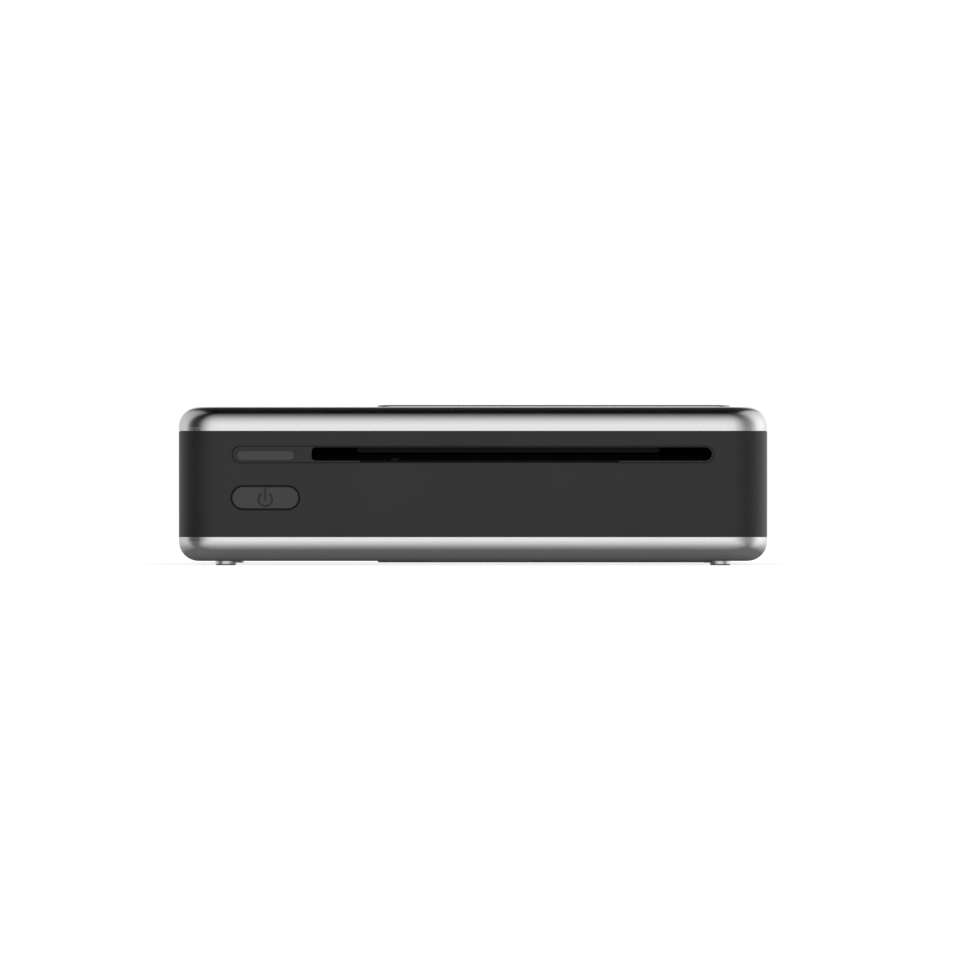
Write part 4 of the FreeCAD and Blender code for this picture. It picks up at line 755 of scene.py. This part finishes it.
@dataclass
class PowerMark:
    """The broken ring and the stroke printed on the button, a hair thicker than nothing."""

    ring_radius: float = 0.85 * MM
    line: float = 0.22 * MM
    gap_degrees: float = 37.0
    ring_drop: float = 0.19 * MM
    stroke_bottom: float = -0.06 * MM
    stroke_top: float = 1.42 * MM
    thickness: float = 0.012 * MM
    steps: int = 48
    end_steps: int = 3

    def ribbon(self, mesh: bmesh.types.BMesh, line_points: Sequence[Vector], front: float,
               back: float) -> None:
        """Draws a line of even width with round ends, standing in the XZ plane.

        Args:
            mesh: The mesh that it goes into.
            line_points: The line's middle, as X and Z.
            front: The Y of its front.
            back: The Y of its back.
        """
        half = self.line / 2
        last = len(line_points) - 1
        pairs = []
        for place, point in enumerate(line_points):
            before = line_points[max(place - 1, 0)]
            after = line_points[min(place + 1, last)]
            along = (after - before).normalized()
            aside = Vector((-along.y, along.x)) * half
            pairs.append((point + aside, point - aside))
        for place in range(self.end_steps, 0, -1):
            turn = math.pi / 2 * place / (self.end_steps + 1)
            ends = ((0, line_points[0], line_points[1]), (last, line_points[-1], line_points[-2]))
            for end, point, neighbour in ends:
                outward = (point - neighbour).normalized()
                aside = Vector((-outward.y, outward.x)) * half * math.sin(turn)
                tip = point + outward * half * math.cos(turn)
                if end == 0:
                    pairs.insert(self.end_steps - place, (tip - aside, tip + aside))
                else:
                    pairs.append((tip + aside, tip - aside))
        corners = [[mesh.verts.new((side.x, y, side.y)) for side in pair for y in (front, back)]
                   for pair in pairs]
        for one, two in zip(corners, corners[1:]):
            for first, second in ((0, 2), (2, 3), (3, 1), (1, 0)):
                mesh.faces.new((one[first], one[second], two[second], two[first]))
        for end in (corners[0], corners[-1]):
            mesh.faces.new((end[0], end[2], end[3], end[1]))

    def build(self, material: bpy.types.Material) -> bpy.types.Object:
        """Prints the mark on the button.

        Args:
            material: The print's material.

        Returns:
            The piece.
        """
        low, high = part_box("power_button")
        middle_x = (low.x + high.x) / 2
        middle_z = (low.z + high.z) / 2 - self.ring_drop
        gap = math.radians(self.gap_degrees)
        ring = []
        for step in range(self.steps + 1):
            angle = math.pi / 2 + gap + (2 * math.pi - 2 * gap) * step / self.steps
            ring.append(Vector((middle_x + self.ring_radius * math.cos(angle),
                                middle_z + self.ring_radius * math.sin(angle))))
        stroke = [Vector((middle_x, middle_z + rise)) for rise in (self.stroke_bottom, self.stroke_top)]
        mesh = bmesh.new()
        for points in (ring, stroke):
            self.ribbon(mesh, points, low.y - self.thickness, low.y + self.thickness)
        piece = new_piece("power_mark", mesh, material)
        piece.data.shade_flat()
        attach(piece, "power_button")
        log.info("power_mark: %.2f mm across", 2 * (self.ring_radius + self.line / 2) / MM)
        return piece


HEADING_SHARES = (
    (-180, 0.90), (-170, 0.72), (-158, 0.62), (-134, 0.67), (-115, 0.68), (-102, 0.50),
    (-90, 0.14), (-80, 0.05), (-64, 0.05), (-54, 0.20), (-45, 0.43), (-36, 0.64),
    (-27, 0.82), (-16, 0.95), (0, 1.0), (15, 0.95), (24, 0.82), (32, 0.67),
    (41, 0.50), (50, 0.35), (60, 0.28), (70, 0.34), (80, 0.53), (90, 0.80),
    (105, 1.12), (122, 1.16), (141, 0.95), (180, 0.90),
)


def heading_light(tree: bpy.types.NodeTree, whole: bpy.types.NodeSocket) -> bpy.types.NodeSocket:
    """Gives how bright the studio is in each compass direction.

    Args:
        tree: The node tree.
        whole: The heading, from 0 at 180 degrees left of the front to 1 at 180 degrees right of it.

    Returns:
        The share of the front's light.
    """
    node = tree.nodes.new("ShaderNodeFloatCurve")
    points = node.mapping.curves[0].points
    brightest = max(share for degrees, share in HEADING_SHARES)
    places = [((degrees + 180.0) / 360.0, share / brightest) for degrees, share in HEADING_SHARES]
    points[0].location = places[0]
    points[1].location = places[-1]
    for place in places[1:-1]:
        points.new(*place)
    node.mapping.update()
    tree.links.new(whole, node.inputs["Value"])
    scale = tree.nodes.new("ShaderNodeMath")
    scale.operation = "MULTIPLY"
    tree.links.new(node.outputs["Value"], scale.inputs[0])
    scale.inputs[1].default_value = brightest
    return scale.outputs[0]


@dataclass
class Sky:
    """A plain studio: soft light around, a dark screen high behind, a fill on matt surfaces."""

    strength: float = 1.15
    fill: float = 0.28
    falloff: float = 0.72
    screen_share: float = 0.95
    screen_half_width: float = 0.42
    screen_full_share: float = 0.6
    screen_turn: float = 0.1
    screen_low: float = 0.12
    screen_high: float = 0.62

    def build(self) -> None:
        """Makes the world's light."""
        world = bpy.data.worlds.new("studio")
        bpy.context.scene.world = world
        world.use_nodes = True
        tree = world.node_tree
        back = tree.nodes["Background"]
        way = tree.nodes.new("ShaderNodeTexCoord").outputs["Generated"]
        parts = tree.nodes.new("ShaderNodeSeparateXYZ")
        tree.links.new(way, parts.inputs["Vector"])
        squared = self.sum(tree, "MULTIPLY", parts.outputs["Z"], parts.outputs["Z"])
        light = self.sum(tree, "POWER", self.sum(tree, "SUBTRACT", 1.0, squared), self.falloff)
        light = self.sum(tree, "MULTIPLY", light, self.around(tree, parts))
        light = self.sum(tree, "MULTIPLY", light, self.screened(tree, parts))
        light = self.sum(tree, "MULTIPLY", light, self.strength)
        matt = tree.nodes.new("ShaderNodeLightPath").outputs["Is Diffuse Ray"]
        light = self.sum(tree, "ADD", light, self.sum(tree, "MULTIPLY", matt, self.fill))
        tree.links.new(light, back.inputs["Strength"])
        back.inputs["Color"].default_value = (1.0, 1.0, 1.0, 1.0)

    def sum(self, tree: bpy.types.NodeTree, kind: str, first: object,
            second: object = 0.0) -> bpy.types.NodeSocket:
        """Adds a math node.

        Args:
            tree: The world's node tree.
            kind: The operation.
            first: A number or an output.
            second: A number or an output.

        Returns:
            The result.
        """
        node = tree.nodes.new("ShaderNodeMath")
        node.operation = kind
        for place, value in enumerate((first, second)):
            if isinstance(value, (int, float)):
                node.inputs[place].default_value = value
            else:
                tree.links.new(value, node.inputs[place])
        return node.outputs[0]

    def ramp(self, tree: bpy.types.NodeTree, value: bpy.types.NodeSocket, start: float, end: float,
             low: float, high: float) -> bpy.types.NodeSocket:
        """Maps a value smoothly from low at start to high at end.

        Args:
            tree: The world's node tree.
            value: The value.
            start: Where low ends.
            end: Where high begins.
            low: The result below start.
            high: The result above end.

        Returns:
            The mapped value.
        """
        node = tree.nodes.new("ShaderNodeMapRange")
        node.interpolation_type = "SMOOTHSTEP"
        for name, number in (("From Min", start), ("From Max", end), ("To Min", low), ("To Max", high)):
            node.inputs[name].default_value = number
        tree.links.new(value, node.inputs["Value"])
        return node.outputs["Result"]

    def around(self, tree: bpy.types.NodeTree, parts: bpy.types.Node) -> bpy.types.NodeSocket:
        """Gives the factor by compass heading, with 0 degrees at the front and right of it positive.

        Args:
            tree: The world's node tree.
            parts: The direction, separated.

        Returns:
            The factor.
        """
        toward_front = self.sum(tree, "MULTIPLY", parts.outputs["Y"], -1.0)
        heading = self.sum(tree, "ARCTAN2", parts.outputs["X"], toward_front)
        whole = self.sum(tree, "ADD", self.sum(tree, "DIVIDE", heading, 2 * math.pi), 0.5)
        return heading_light(tree, whole)

    def screened(self, tree: bpy.types.NodeTree, parts: bpy.types.Node) -> bpy.types.NodeSocket:
        """Gives the factor of the dark screen that stands high behind the object.

        Args:
            tree: The world's node tree.
            parts: The direction, separated.

        Returns:
            The factor.
        """
        aside = self.sum(tree, "ABSOLUTE", parts.outputs["X"])
        full_width = self.screen_half_width * self.screen_full_share
        middle = self.ramp(tree, aside, full_width, self.screen_half_width, 1.0, 0.0)
        behind = self.ramp(tree, parts.outputs["Y"], -self.screen_turn, self.screen_turn, 0.0, 1.0)
        high = self.ramp(tree, parts.outputs["Z"], self.screen_low, self.screen_high, 0.0,
                         self.screen_share)
        held = self.sum(tree, "MULTIPLY", self.sum(tree, "MULTIPLY", middle, behind), high)
        return self.sum(tree, "SUBTRACT", 1.0, held)


@dataclass
class Stage:
    """The pale floor that the printer stands on, and the camera in front of it."""

    floor_reach: float = 6.0
    floor_tone: float = 0.26
    glow: float = 0.94
    # shade_glow, shade_mirror, shade_start and shade_length shape the painted shadow round the printer: the
    # floor's glow there, to the eye and in reflections, and how it fades out.
    shade_glow: float = 0.84
    mirror_share: float = 0.94
    shade_mirror: float = 0.046
    shade_start: float = 1.0 * MM
    shade_length: float = 7.0 * MM
    camera_place: tuple[float, float, float] = (1.505 * MM, -3.06, 10.1 * MM)
    front_y: float = -60.0 * MM
    frame_width: float = 121.80 * MM
    sensor: float = 36.0

    def floor(self, footprint: tuple[float, float]) -> bpy.types.Object:
        """Lays the floor.

        Args:
            footprint: Half the printer's width and depth, within which the floor glows least, as a painted
                shadow.

        Returns:
            The floor.
        """
        mesh = bmesh.new()
        reach = self.floor_reach
        corners = ((-reach, -reach), (reach, -reach), (reach, reach), (-reach, reach))
        mesh.faces.new([mesh.verts.new((x, y, 0.0)) for x, y in corners])
        floor = new_piece("floor", mesh, self.paper(footprint))
        floor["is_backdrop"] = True
        return floor

    def paper(self, footprint: tuple[float, float]) -> bpy.types.Material:
        """Makes the floor's white paper, which stays white to the eye through its glow and keeps the
        printer's real shadow, with the glow cut down near the printer as a painted shadow.

        Args:
            footprint: Half the printer's width and depth.

        Returns:
            The material.
        """
        graph = Graph("white_paper")
        tone = (self.floor_tone,) * 3
        graph.put("Base Color", tone)
        graph.put("Roughness", 0.9)
        graph.put("Specular IOR Level", 0.0)
        half_width, half_depth = footprint
        held = graph.vector("MAXIMUM", graph.place, (-half_width, -half_depth, 0.0))
        inside = graph.vector("MINIMUM", held, (half_width, half_depth, 0.0))
        front = graph.vector("MINIMUM", held, (half_width, -half_depth, 0.0))
        away = graph.length(graph.vector("SUBTRACT", graph.place, inside))
        # painted shadow: near the footprint the floor's glow is cut down, and it fades back in with
        # distance.
        past_start = graph.math("SUBTRACT", self.shade_start, away)
        shade = graph.math("EXPONENT", graph.math("DIVIDE", past_start, self.shade_length))
        shade = graph.math("MINIMUM", shade, 1.0)
        rays = graph.tree.nodes.new("ShaderNodeLightPath")
        eye = rays.outputs["Is Camera Ray"]
        mirror = graph.math("MAXIMUM", rays.outputs["Is Glossy Ray"],
                            rays.outputs["Is Transmission Ray"])
        # painted light: in reflections the floor's glow follows the studio's light by heading round the
        # printer's front.
        parts = graph.tree.nodes.new("ShaderNodeSeparateXYZ")
        graph.join(graph.vector("SUBTRACT", graph.place, front), parts.inputs["Vector"])
        toward_front = graph.math("MULTIPLY", parts.outputs["Y"], -1.0)
        heading = graph.math("ARCTAN2", parts.outputs["X"], toward_front)
        whole = graph.math("ADD", graph.math("DIVIDE", heading, 2 * math.pi), 0.5)
        around = graph.math("MULTIPLY", heading_light(graph.tree, whole), self.mirror_share)
        painted_mirror_glow = graph.math("MULTIPLY", mirror, around)
        open_glow = graph.math("MULTIPLY", graph.math("SUBTRACT", 1.0, shade), self.glow)
        open_glow = graph.math("MULTIPLY", open_glow, graph.math("ADD", eye, painted_mirror_glow))
        low_glow = graph.math("ADD", graph.math("MULTIPLY", eye, self.shade_glow),
                              graph.math("MULTIPLY", mirror, self.shade_mirror))
        glow = graph.math("ADD", open_glow, graph.math("MULTIPLY", low_glow, shade))
        graph.put("Emission Color", (1.0, 1.0, 1.0))
        graph.feed(glow, "Emission Strength")
        return graph.material

    def camera(self) -> bpy.types.Object:
        """Sets the camera level in front of the printer.

        Returns:
            The camera.
        """
        data = bpy.data.cameras.new("camera")
        distance = self.front_y - self.camera_place[1]
        data.sensor_width = self.sensor
        data.lens = self.sensor * distance / self.frame_width
        data.clip_end = 50.0
        camera = bpy.data.objects.new("camera", data)
        camera.location = self.camera_place
        camera.rotation_euler = (math.pi / 2, 0.0, 0.0)
        bpy.context.scene.collection.objects.link(camera)
        bpy.context.scene.camera = camera
        return camera


def main() -> None:
    """Dresses the printer, builds its loose pieces, lights it and sets the camera."""
    logging.basicConfig(level=logging.INFO, format="%(message)s")
    cad_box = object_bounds()
    low, high = cad_box
    stage = Stage()
    stage.camera()
    stage.floor((max(-low[0], high[0]), max(-low[1], high[1])))
    Sky().build()
    bpy.context.scene.view_settings.view_transform = "Standard"
    materials = FinishShelf().dress()
    wire = materials["spring_steel"]
    for springs in (
        CoilSprings("head_spring_coils", "head_springs", "housing", "head_pivot", keep=0.865,
                    spacing=15.0 * MM, count=3, turns=4.5),
        CoilSprings("pressure_spring_coils", "pressure_springs", "cover", "pressure_plate_pivot", keep=0.56,
                    spacing=10.0 * MM, count=2, turns=4.5),
    ):
        springs.build(wire)
    PowerMark().build(PaintFinish("mark_print", (0.021, 0.021, 0.022)).make())
    log.info("sizes written")


if __name__ == "__main__":
    main()
